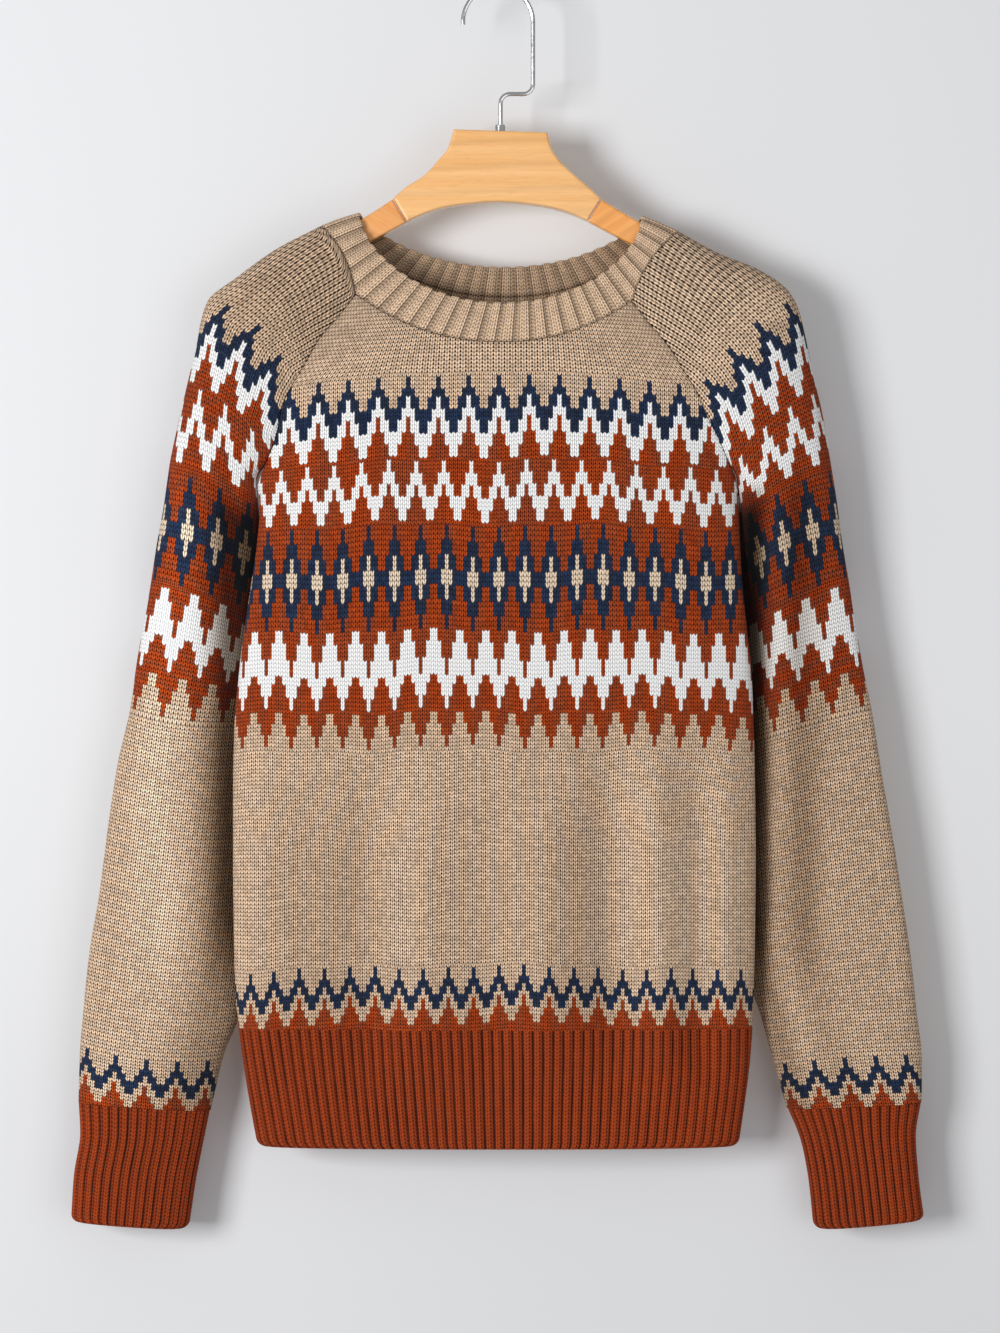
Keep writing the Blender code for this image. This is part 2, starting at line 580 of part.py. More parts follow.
def ferrule(look):
    """The small metal collar round the foot of the hook's stem."""
    top, rim = FERRULE_TALL, FERRULE_RADIUS - FERRULE_CHAMFER
    profile = [(FERRULE_BORE, 0), (FERRULE_BORE, top), (rim, top),
               (FERRULE_RADIUS, top - FERRULE_CHAMFER), (FERRULE_RADIUS, 0), (FERRULE_BORE, 0)]
    mesh = bpy.data.meshes.new("hook_ferrule")
    edges = [(k, k + 1) for k in range(len(profile) - 1)]
    mesh.from_pydata([(radius * MM, 0, z * MM) for radius, z in profile], edges, [])
    thing = bpy.data.objects.new("hook_ferrule", mesh)
    thing.location = (STEM_X * MM, 0, STEM_FOOT * MM)
    thing.data.materials.append(look)
    ROOT.objects.link(thing)
    turn = thing.modifiers.new("turned", "SCREW")
    turn.steps = turn.render_steps = FERRULE_SIDES
    turn.use_merge_vertices = True
    turn.merge_threshold = 0.0001
    weld = thing.modifiers.new("closed", "WELD")
    weld.merge_threshold = 0.00002


def main():
    """Build the sweater and its hanger."""
    clear_scene()
    knit = material("mixed_knit", (0.45, 0.32, 0.22), 0.9)
    rust = material("rust_rib", (0.30, 0.07, 0.02), 0.9)
    tan = material("tan_rib", (0.46, 0.33, 0.23), 0.9)
    wood = material("pale_wood", (0.78, 0.46, 0.19), 0.4)
    steel = material("bright_steel", (0.75, 0.75, 0.76), 0.25, 1.0)

    for name, yoke, side in (("front_panel", FRONT_YOKE, -1), ("back_panel", BACK_YOKE, 1)):
        shell(name, panel(yoke, BODY_ROWS, side, 0), panel(yoke, BODY_ROWS, side, KNIT_WALL), knit)
    for name, stations in (("sleeve_left", LEFT_SLEEVE), ("sleeve_right", RIGHT_SLEEVE)):
        shell(name, sleeve_grid(stations, 0), sleeve_grid(stations, KNIT_WALL), knit)
    hem = [np.array([body_ring(row, wall) for row in HEM_ROWS]) for wall in (0, RIB_WALL)]
    for grid in hem:
        grid[0, :, 2] -= SEAM_GAP / 2
    shell("hem_rib", hem[0], hem[1], rust, ring=True)
    for name, rows in (("cuff_left", LEFT_CUFF), ("cuff_right", RIGHT_CUFF)):
        cuff = [np.array([cuff_ring(row, wall) for row in rows]) for wall in (0, RIB_WALL)]
        shell(name, cuff[0], cuff[1], rust, ring=True)
    outer, inner = collar_grids()
    shell("collar_rib", outer, inner, tan, ring=True)

    outline_board("hanger_block", block_outline(), WOOD_BLOCK, wood)
    outline_board("hanger_arm_left", arm_outline(LEFT_ARM), WOOD_ARM, wood)
    outline_board("hanger_arm_right", arm_outline(RIGHT_ARM), WOOD_ARM, wood)
    hook(steel)
    ferrule(steel)


main()
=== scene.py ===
"""Looks of a raglan sweater with zigzag and diamond bands on a wooden hanger.

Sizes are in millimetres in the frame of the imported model: the origin is the
inside of the hook's crown, +Z is up and the front of the sweater faces -Y.
Every cloth piece is a closed thin shell on the form of its solid.
"""
import logging
import math
from dataclasses import dataclass, field
from enum import Enum
from functools import partial
from typing import Callable

import bpy
import numpy as np
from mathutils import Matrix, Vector


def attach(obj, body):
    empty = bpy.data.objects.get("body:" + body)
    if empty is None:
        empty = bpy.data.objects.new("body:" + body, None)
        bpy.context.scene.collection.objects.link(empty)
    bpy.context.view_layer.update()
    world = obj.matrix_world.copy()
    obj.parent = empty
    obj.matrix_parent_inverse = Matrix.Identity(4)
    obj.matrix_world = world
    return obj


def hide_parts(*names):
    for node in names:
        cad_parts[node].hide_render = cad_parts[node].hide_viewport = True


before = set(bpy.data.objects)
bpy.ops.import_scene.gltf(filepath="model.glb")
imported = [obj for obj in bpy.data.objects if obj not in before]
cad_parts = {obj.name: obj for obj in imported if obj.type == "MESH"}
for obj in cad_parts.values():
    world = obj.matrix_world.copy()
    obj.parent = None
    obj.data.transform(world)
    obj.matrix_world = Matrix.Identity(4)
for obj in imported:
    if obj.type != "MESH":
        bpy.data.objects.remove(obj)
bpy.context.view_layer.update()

MM = 0.001
ROOT_BODY = "root"
log = logging.getLogger("sweater")

Array = np.ndarray
Socket = bpy.types.NodeSocket
Input = Socket | bpy.types.Node | float | tuple | None


# ------------------------------------------------------------------- numbers
def smooth_rows(table: Array, at: Array) -> Array:
    """Values between the rows of a table, by a monotone cubic.

    The slope at a row is the harmonic mean of the steps on either side of it,
    and none where the value turns, so no value overshoots its rows.

    Args:
        table: one row for each station, one column for each value.
        at: places to read, in rows from the first one.

    Returns:
        One row of values for each place.
    """
    step = np.diff(table, axis=0)
    before, after = step[:-1], step[1:]
    same = before * after > 0
    mean = 2 * before * after / np.where(same, before + after, 1)
    slope = np.concatenate([step[:1], np.where(same, mean, 0), step[-1:]])
    low = np.clip(at.astype(int), 0, len(table) - 2)
    part = (at - low)[:, None]
    square, cube = part ** 2, part ** 3
    value = (2 * cube - 3 * square + 1) * table[low] + (cube - 2 * square + part) * slope[low]
    return value + (3 * square - 2 * cube) * table[low + 1] + (cube - square) * slope[low + 1]


def smooth_step(value: Array) -> Array:
    """0 below 0, 1 above 1 and three times the square less twice the cube between."""
    held = np.clip(value, 0, 1)
    return held * held * (3 - 2 * held)


def read_table(table: Array, at: Array, column: int = 1) -> Array:
    """A column of a table at values of its first one, straight between its rows.

    Args:
        table: its first column runs all the way up or all the way down.
        at: values of the first column.
        column: the column that is read.

    Returns:
        The values read, held at those of the end rows beyond them.
    """
    way = math.copysign(1, table[-1, 0] - table[0, 0])
    return np.interp(way * at, way * table[:, 0], table[:, column])


def run_length(points: Array) -> Array:
    """Length along each row of points from its first one; the last axis is x, y, z."""
    step = np.linalg.norm(np.diff(points, axis=-2), axis=-1)
    start = np.zeros(step.shape[:-1] + (1,))
    return np.concatenate([start, np.cumsum(step, axis=-1)], axis=-1)


def resample(points: Array, run: Array, at: Array) -> Array:
    """Points of one line at given lengths along it, straight between its points."""
    return np.stack([np.interp(at, run, points[:, k]) for k in range(3)], axis=-1)


def stops(length: float, step: float, close: tuple[float, ...]) -> Array:
    """Even stops along a length with a few close ones at both of its ends.

    Args:
        length: the whole length in mm.
        step: spacing of the even stops in mm.
        close: distances of the close stops from either end.

    Returns:
        The stops from 0 to the length.
    """
    edge = np.array((0.0,) + close)
    count = max(int((length - 2 * close[-1]) / step), 2)
    even = np.linspace(close[-1], length - close[-1], count)[1:-1]
    return np.concatenate([edge, even, length - edge[::-1]])


# --------------------------------------------------------------------- meshes
@dataclass
class Shell:
    """A closed solid between an outer and an inner grid of points.

    Attributes:
        outer: points in mm as rows, columns and x, y, z.
        inner: the points under them on the other side of the cloth.
        ring: True where the last column joins the first.
        maps: UV maps, one pair for each point (one column more on a ring).
        marks: float attributes, a value for each point or for each side's points.
    """

    outer: Array
    inner: Array
    ring: bool = False
    maps: dict[str, Array] = field(default_factory=dict)
    marks: dict[str, Array] = field(default_factory=dict)

    def corners(self) -> Array:
        """Face corners as side, row and column: both grids, then the rims.

        Returns:
            An array of faces, corners and (side, row, column).
        """
        rows, columns = self.outer.shape[:2]
        last = columns if self.ring else columns - 1
        i, j = (a.ravel() for a in np.meshgrid(np.arange(rows - 1), np.arange(last), indexing="ij"))
        across, down = np.arange(last), np.arange(rows - 1)

        def quads(spots: list[tuple]) -> Array:
            """Stack corner places into faces."""
            return np.stack([np.stack(np.broadcast_arrays(*s), axis=-1) for s in spots], axis=1)

        faces = [
            quads([(0, i, j), (0, i, j + 1), (0, i + 1, j + 1), (0, i + 1, j)]),
            quads([(1, i, j), (1, i + 1, j), (1, i + 1, j + 1), (1, i, j + 1)]),
            quads([(0, 0, across), (1, 0, across), (1, 0, across + 1), (0, 0, across + 1)]),
            quads([(0, rows - 1, across), (0, rows - 1, across + 1),
                   (1, rows - 1, across + 1), (1, rows - 1, across)]),
        ]
        if not self.ring:
            end = columns - 1
            faces.append(quads([(0, down, 0), (0, down + 1, 0), (1, down + 1, 0), (1, down, 0)]))
            faces.append(quads([(0, down + 1, end), (0, down, end),
                                (1, down, end), (1, down + 1, end)]))
        return np.concatenate(faces)

    def build(self, name: str) -> bpy.types.Object:
        """Make the object, its faces outwards, with its maps and marks.

        Args:
            name: the piece's name.

        Returns:
            The linked object, at the origin.
        """
        rows, columns = self.outer.shape[:2]
        places = self.corners()
        side, row, column = places[..., 0], places[..., 1], places[..., 2]
        faces = side * rows * columns + row * columns + column % columns
        points = np.concatenate([self.outer.reshape(-1, 3), self.inner.reshape(-1, 3)]) * MM
        a, b, c, d = (points[faces[:, k]] for k in range(4))
        volume = (np.cross(b - a, c - a) * a).sum() + (np.cross(c - a, d - a) * a).sum()
        if volume < 0:
            faces, places = faces[:, ::-1], places[:, ::-1]
        thing = mesh_object(name, points, faces)
        spot = places[..., 1].ravel(), places[..., 2].ravel()
        for title, values in self.maps.items():
            layer = thing.data.uv_layers.new(name=title)
            layer.data.foreach_set("uv", values[spot].astype(np.float32).ravel())
        for title, values in self.marks.items():
            mark = thing.data.attributes.new(title, "FLOAT", "POINT")
            both = values.ravel() if values.ndim == 3 else np.concatenate([values.ravel()] * 2)
            mark.data.foreach_set("value", both.astype(np.float32))
        return thing


def mesh_object(name: str, points: Array, faces: Array) -> bpy.types.Object:
    """Put points and four-cornered faces into a new linked object.

    Args:
        name: the object's name.
        points: places in metres.
        faces: four point numbers for each face.

    Returns:
        The object, smooth but for edges sharper than 50 degrees.
    """
    mesh = bpy.data.meshes.new(name)
    mesh.vertices.add(len(points))
    mesh.vertices.foreach_set("co", points.astype(np.float32).ravel())
    mesh.loops.add(faces.size)
    mesh.loops.foreach_set("vertex_index", faces.astype(np.int32).ravel())
    mesh.polygons.add(len(faces))
    mesh.polygons.foreach_set("loop_start", np.arange(0, faces.size, 4, dtype=np.int32))
    mesh.update(calc_edges=True)
    mesh.validate()
    mesh.shade_smooth()
    mesh.set_sharp_from_angle(angle=math.radians(50))
    thing = bpy.data.objects.new(name, mesh)
    bpy.context.scene.collection.objects.link(thing)
    return thing


# ------------------------------------------------------------------ materials
def linear(code: str) -> tuple[float, float, float, float]:
    """Linear red, green, blue and 1 from an sRGB hex colour such as #A0B0C0."""
    parts = [int(code[k:k + 2], 16) / 255 for k in (1, 3, 5)]
    light = [v / 12.92 if v <= 0.04045 else ((v + 0.055) / 1.055) ** 2.4 for v in parts]
    return light[0], light[1], light[2], 1.0


def add_node(tree: bpy.types.NodeTree, kind: str, *inputs: Input, **settings: object) -> bpy.types.Node:
    """Add one shader node with its settings and links.

    Args:
        tree: the node tree it goes into.
        kind: the node's type without its "ShaderNode".
        inputs: one entry for each input in order. A socket or node is linked,
            a number or tuple is set, and None leaves the input as it is.
        settings: the node's own settings; any other name is an input, with
            underscores for spaces.

    Returns:
        The new node.
    """
    node = tree.nodes.new("ShaderNode" + kind)
    wanted = dict(enumerate(inputs))
    for name, value in settings.items():
        if hasattr(node, name):
            setattr(node, name, value)
        else:
            wanted[name.replace("_", " ")] = value
    for place, value in wanted.items():
        if isinstance(value, bpy.types.Node):
            value = value.outputs[0]
        if isinstance(value, bpy.types.NodeSocket):
            tree.links.new(value, node.inputs[place])
        elif value is not None:
            node.inputs[place].default_value = value
    return node


def new_material(name: str, **look: float | tuple) -> tuple[bpy.types.Material, Callable,
                                                            bpy.types.Node]:
    """An empty node material.

    Args:
        name: the finish it is named for.
        look: the Principled shader's inputs, with underscores for spaces.

    Returns:
        The material, its add_node and its Principled shader.
    """
    made = bpy.data.materials.new(name)
    made.use_nodes = True
    made.node_tree.nodes.clear()
    add = partial(add_node, made.node_tree)
    shader = add("BsdfPrincipled", **look)
    add("OutputMaterial", shader)
    return made, add, shader


def feed(node: bpy.types.Node, **sources: bpy.types.Node) -> None:
    """Link nodes to the inputs of another, named with underscores for spaces."""
    for name, source in sources.items():
        node.id_data.links.new(source.outputs[0], node.inputs[name.replace("_", " ")])


class Yarn(Enum):
    """The yarns: place in the colour chart, colour, heather and painted shade of the gaps."""

    TAN = (0, "#DABB9E", 0.80, 0.03)
    NAVY = (1, "#222F48", 1.20, 0.30)
    WHITE = (2, "#FAF9F8", 0.08, 0.70)
    RUST = (3, "#A24016", 0.80, 0.08)
    CREAM = (4, "#E6CFB4", 0.35, 0.14)

    @property
    def order(self) -> int:
        """Its number in the chart."""
        return self.value[0]

    @property
    def colour(self) -> tuple[float, float, float, float]:
        """Its linear colour."""
        return linear(self.value[1])

    @property
    def heather(self) -> float:
        """How far single stitches differ from its colour."""
        return self.value[2]

    @property
    def gap(self) -> float:
        """Share of its colour left in the gaps between stitches, as painted shade."""
        return self.value[3]


MATT_YARN = {"Roughness": 0.92, "Specular_IOR_Level": 0.1, "Sheen_Weight": 0.04,
             "Sheen_Roughness": 0.6}
NEVER = 400                  # a course below every piece: the change doesn't come
MOTIF_WALES = 7              # stitches across one motif


@dataclass(frozen=True)
class Change:
    """A change of yarn in the chart.

    Attributes:
        yarn: the yarn that is knitted from here on.
        starts: its first course in the columns 0, 1, 2 and 3 away from the
            middle of the seven-stitch motif.
    """

    yarn: Yarn
    starts: tuple[int, int, int, int]


YOKE_ZIGZAGS = (
    Change(Yarn.NAVY, (0, 3, 5, 8)),
    Change(Yarn.WHITE, (5, 8, 11, 14)),
    Change(Yarn.RUST, (10, 14, 17, 20)),
    Change(Yarn.WHITE, (21, 24, 27, 30)),
    Change(Yarn.RUST, (27, 30, 33, 36)),
)
DIAMONDS = (
    Change(Yarn.NAVY, (37, 40, 43, 46)),
    Change(Yarn.CREAM, (43, 46, NEVER, NEVER)),
    Change(Yarn.NAVY, (52, 49, NEVER, NEVER)),
    Change(Yarn.RUST, (58, 55, 52, 49)),
)
WIDE_ZIGZAGS = (
    Change(Yarn.WHITE, (69, 65, 61, 58)),
    Change(Yarn.RUST, (77, 74, 71, 69)),
    Change(Yarn.TAN, (87, 84, 81, 78)),
)
LOW_ZIGZAGS = (
    Change(Yarn.NAVY, (145, 148, 150, 152)),
    Change(Yarn.TAN, (150, 152, 154, 156)),
    Change(Yarn.RUST, (153, 156, 158, 160)),
)


PLAIN_FIRST, PLAIN_LAST = 88.0, 144.0   # courses of the plain zone in the body's chart


@dataclass(frozen=True)
class Chart:
    """The colour chart of one piece, its courses counted downwards.

    Attributes:
        after_zigzags: plain courses added above the diamonds.
        after_diamonds: plain courses added below them.
    """

    after_zigzags: int = 0
    after_diamonds: int = 0

    @property
    def added(self) -> int:
        """Courses added above the plain zone."""
        return self.after_zigzags + self.after_diamonds

    def changes(self) -> list[Change]:
        """Every change of yarn from the top down, with the added courses."""
        bands = ((YOKE_ZIGZAGS, 0), (DIAMONDS, self.after_zigzags),
                 (WIDE_ZIGZAGS, self.added), (LOW_ZIGZAGS, self.added))
        return [Change(c.yarn, tuple(s + shift if s < NEVER else s for s in c.starts))
                for band, shift in bands for c in band]

    def plain_zone(self) -> tuple[float, float]:
        """First and last course of the plain tan zone."""
        return PLAIN_FIRST + self.added, PLAIN_LAST + self.added


@dataclass(frozen=True)
class StockingStitch:
    """Mid-gauge wool-blend yarn, machine knitted in stocking stitch.

    The eye gets columns of small V stitches with painted shade in the dots
    between them and painted highlights on their crowns, heathered yarn, sharp
    stepped edges where the yarn changes, and a soft matt nap with no gloss.
    """

    name: str
    chart: Chart
    wales: tuple[tuple[float, float], ...]  # first course and width of a wale from there
    yarn_round: float = 0.55     # mm a stitch stands over the gap beside it
    leg_slope: float = 0.5       # courses the legs of a V fall towards its middle
    yoke_shade: float = 0.03     # painted shade: colour left in the gaps where the yoke is open
    yoke_open: float = 0.5       # how far the knit is open over the yoke
    stretch: float = 0.0         # how far the knit is open below the yoke

    def make(self) -> bpy.types.Material:
        """Build the material.

        Returns:
            The material, reading the UV maps "chart" and "stitch".
        """
        made, add, shader = new_material(self.name, **MATT_YARN)
        chart = add("SeparateXYZ", add("UVMap", uv_map="chart"))
        plain = add("SeparateXYZ", add("UVMap", uv_map="stitch"))
        course = chart.outputs[1]
        width, before = self.wales[0][1], self.wales[0][1]
        for start, wide in self.wales[1:]:
            passed = add("Math", course, start, operation="GREATER_THAN")
            width = add("Math", passed, wide - before, width, operation="MULTIPLY_ADD")
            before = wide
        column = add("Math", add("Math", chart.outputs[0], width, operation="DIVIDE"),
                     MOTIF_WALES / 2, operation="ADD")
        first, last = self.chart.plain_zone()
        banded = add("Math", add("Math", course, -1.0, operation="GREATER_THAN"),
                     add("Math", course, first, operation="LESS_THAN"), operation="MULTIPLY")
        banded = add("Math", banded, add("Math", course, last, operation="GREATER_THAN"),
                     operation="ADD")
        wale = add("Mix", banded, A=plain.outputs[0], B=column)
        line = add("Mix", banded, A=plain.outputs[1], B=course)
        open_yoke = add("MapRange", course, 1.0, -7.0, 0.0, self.yoke_open)
        spread = add("Math", open_yoke, self.stretch, operation="MAXIMUM")
        cell = stitch_cell(add, wale, line, self.leg_slope, spread)
        yarn = add("Math", self.yarn_number(add, cell), banded, operation="MULTIPLY")
        colour = yarn_ramp(add, yarn, [(*y.colour[:3], 1.0) for y in Yarn])
        heather = yarn_ramp(add, yarn, [(y.heather,) * 3 + (1.0,) for y in Yarn])
        # painted shade left in the gaps: each yarn's own where the knit is closed, yoke_shade where the
        # yoke is open
        closed = yarn_ramp(add, yarn, [(y.gap,) * 3 + (1.0,) for y in Yarn])
        shade = add("Mix", open_yoke, A=closed, B=self.yoke_shade)
        dress_yarn(add, shader, cell, colour, heather, shade, self.yarn_round)
        return made

    def yarn_number(self, add: Callable, cell: dict[str, Socket]) -> bpy.types.Node:
        """The yarn of a stitch, as its number in Yarn.

        Each change adds its step in number once the course has reached it, and
        the course where it starts is read by the column's place in the motif.

        Args:
            add: the material's add_node.
            cell: the stitch cell.

        Returns:
            The node that gives the number.
        """
        place = add("Math", cell["column"], float(MOTIF_WALES), operation="FLOORED_MODULO")
        place = add("Math", place, float(MOTIF_WALES // 2), operation="SUBTRACT")
        place = add("Math", place, operation="ABSOLUTE")
        is_at = [add("Math", place, float(k), 0.5, operation="COMPARE") for k in (1, 2, 3)]
        weights = add("CombineXYZ", *is_at)
        number, current = None, Yarn.TAN
        for change in self.chart.changes():
            base, *others = change.starts
            start = add("VectorMath", weights, tuple(float(o - base) for o in others),
                        operation="DOT_PRODUCT")
            since = add("Math", cell["row"], start.outputs["Value"], operation="SUBTRACT")
            reached = add("Math", since, base - 0.5, operation="GREATER_THAN")
            step = float(change.yarn.order - current.order)
            number = add("Math", reached, step, 0.0 if number is None else number,
                         operation="MULTIPLY_ADD")
            current = change.yarn
        return number


def yarn_ramp(add: Callable, number: Input, colours: list[tuple]) -> bpy.types.Node:
    """A stepped ramp that gives one colour for each yarn number.

    Args:
        add: the material's add_node.
        number: the yarn's number.
        colours: the colours in the order of Yarn.

    Returns:
        The ramp.
    """
    count = len(colours)
    ramp = add("ValToRGB", add("Math", add("Math", number, 0.5, operation="ADD"), float(count),
                               operation="DIVIDE"))
    ramp.color_ramp.interpolation = "CONSTANT"
    while len(ramp.color_ramp.elements) < count:
        ramp.color_ramp.elements.new(0.5)
    for k, colour in enumerate(colours):
        ramp.color_ramp.elements[k].position = k / count
        ramp.color_ramp.elements[k].color = colour
    return ramp


# How low a stitch's edge lies where painted shade begins to darken its gap
# and where that shade is full, as a share of the lowest; stretched knit has the
# full painted shade sooner, and longer along the wale.
GAP_BEGINS = 0.03
GAP_FULL = 0.24
GAP_SOONER = 0.12
GAP_LONGER = 0.65
MIDDLE_GAP = 0.6             # share of the painted shade that the gaps in a V's middle have


def stitch_cell(add: Callable, wale: Input, course: Input, slope: float,
                spread: Input = 0.0) -> dict[str, Socket]:
    """The V of one stitch: which stitch a place is in, and how high it stands.

    Both legs of the V fall towards the middle of the wale. The height is a
    round across each leg times a round along it, so it is lowest in the dots
    between stitches.

    Args:
        add: the material's add_node.
        wale: place across, a whole number for each wale.
        course: place downwards, a whole number for each course.
        slope: courses that the legs fall from the wale's edge to its middle.
        spread: 0 where the knit is closed and its gaps are dots, 1 where it is
            stretched open and they are dashes along the wale.

    Returns:
        The sockets column, row, height (0 to 1) and gap (1 in the dots, where shade is painted).
    """
    column = add("Math", wale, operation="FLOOR")
    leg = add("Math", add("Math", wale, column, operation="SUBTRACT"), 0.5, operation="SUBTRACT")
    leg = add("Math", add("Math", leg, operation="ABSOLUTE"), 2.0, operation="MULTIPLY")
    level = add("Math", leg, slope, course, operation="MULTIPLY_ADD")
    row = add("Math", level, operation="FLOOR")
    part = add("Math", level, row, operation="SUBTRACT")
    squares = []
    for value in (leg, part):
        off = add("Math", value, 2.0, -1.0, operation="MULTIPLY_ADD")
        squares.append(add("Math", off, off, operation="MULTIPLY"))
    rounds = [add("Math", 1.0, square, operation="SUBTRACT") for square in squares]
    ridge = add("Math", add("Math", rounds[0], rounds[1], operation="MULTIPLY"), 0.5,
                operation="POWER")
    longer = add("Math", spread, -GAP_LONGER, 1.0, operation="MULTIPLY_ADD")
    along = add("Math", squares[1], longer, operation="POWER")
    gaps = add("Math", squares[0], along, operation="MULTIPLY")
    edge = add("MapRange", leg, 0.35, 0.65, MIDDLE_GAP, 1.0)
    full = add("Math", spread, -GAP_SOONER, GAP_FULL, operation="MULTIPLY_ADD")
    gap = add("MapRange", gaps, GAP_BEGINS, full, 0.0, 1.0)
    gap = add("Math", gap, edge, operation="MULTIPLY")
    return {"column": column.outputs[0], "row": row.outputs[0],
            "height": ridge.outputs[0], "gap": gap.outputs[0]}


WARMTH = (1.0, 1.12, 1.26)   # powers of a painted shade's red, green and blue: a deep one turns brown
BRIGHTEST = 0.96             # most of any light that shaded yarn throws back
FIBRE = 0.8                  # mm between fibres
NAP = 0.12                   # mm that fibres stand out
# Shares of single stitches, of streaks and of fibres in the heather, less
# the mean of their sum.
SINGLES, STREAKS, FIBRES, HEATHER_MEAN = 0.42, 0.4, 0.8, 0.81
STREAK_STEP = (0.07, 0.9, 0.0)   # noise steps for a stitch across and for a course down
EDGE_LIGHT, CROWN_LIGHT = 0.69, 0.5   # painted light at a stitch's edge, and the painted highlight its crown adds
SEAM_DULL, SEAM_GAP_DULL = 0.20, 0.65   # light lost at a seam, its dark stitching and painted shade in its groove, and more in its gaps


def dress_yarn(add: Callable, shader: bpy.types.Node, cell: dict[str, Socket], colour: Input,
               heather: Input, shade: Input, relief: float) -> None:
    """Give a knitted surface its yarn: heather, painted shade in the gaps, a painted
    highlight on each stitch's crown, relief and nap. It also paints the shade and
    light marked on the piece, and darkens its seams with their dark stitching and
    painted shade.

    Args:
        add: the material's add_node.
        shader: its Principled shader.
        cell: the stitch cell.
        colour: the yarn's colour.
        heather: how far single stitches differ from it.
        shade: share of the colour left in the gaps, as painted shade.
        relief: mm a stitch stands over the gap beside it.
    """
    place = add("TexCoord").outputs["Object"]
    stitch = add("CombineXYZ", cell["column"], cell["row"], 0.0)
    single = add("TexWhiteNoise", stitch, noise_dimensions="2D")
    streak = add("VectorMath", stitch, STREAK_STEP, operation="MULTIPLY")
    streak = add("TexNoise", streak, Scale=1.0, Detail=2.0, Roughness=0.6)
    fibre = add("TexNoise", place, Scale=1 / (FIBRE * MM), Detail=2.0, Roughness=0.7)
    mixed = add("Math", single.outputs["Value"], SINGLES,
                add("Math", streak, STREAKS, operation="MULTIPLY"), operation="MULTIPLY_ADD")
    mixed = add("Math", fibre, FIBRES, mixed, operation="MULTIPLY_ADD")
    mixed = add("Math", mixed, HEATHER_MEAN, operation="SUBTRACT")
    light = add("Math", mixed, heather, 1.0, operation="MULTIPLY_ADD")
    height = cell["height"]
    # painted highlight on a stitch's crown, painted shade towards its edges
    crown = add("Math", height, CROWN_LIGHT, EDGE_LIGHT, operation="MULTIPLY_ADD")
    # painted shade in the gaps between stitches
    dark = add("Mix", cell["gap"], A=1.0, B=shade)
    # a seam's dark stitching, with painted shade in its rolled-in groove
    seam = add("Attribute", attribute_name="seam").outputs["Fac"]
    lost = add("Math", cell["gap"], -SEAM_GAP_DULL, -SEAM_DULL, operation="MULTIPLY_ADD")
    seam_dark_and_shade = add("Math", seam, lost, 1.0, operation="MULTIPLY_ADD")
    for share in (crown, dark, seam_dark_and_shade):
        light = add("Math", light, share, operation="MULTIPLY")
    # painted shade and painted light marked on the piece, with the neck's darker inside seam line
    painted_light_shade_and_seam = add("Attribute", attribute_name="painted_light_shade_and_seam").outputs["Fac"]
    bare = add("Math", 1.0, painted_light_shade_and_seam, operation="SUBTRACT")
    warm = add("CombineXYZ", *(add("Math", bare, power, operation="POWER") for power in WARMTH))
    tinted = add("VectorMath", colour, operation="SCALE", Scale=light)
    tinted = add("VectorMath", tinted, warm, operation="MULTIPLY")
    tinted = add("VectorMath", tinted, (BRIGHTEST,) * 3, operation="MINIMUM")
    tall = add("Math", fibre, NAP / relief, height, operation="MULTIPLY_ADD")
    bump = add("Bump", Height=tall, Strength=1.0, Distance=relief * MM)
    feed(shader, Base_Color=tinted, Normal=bump)


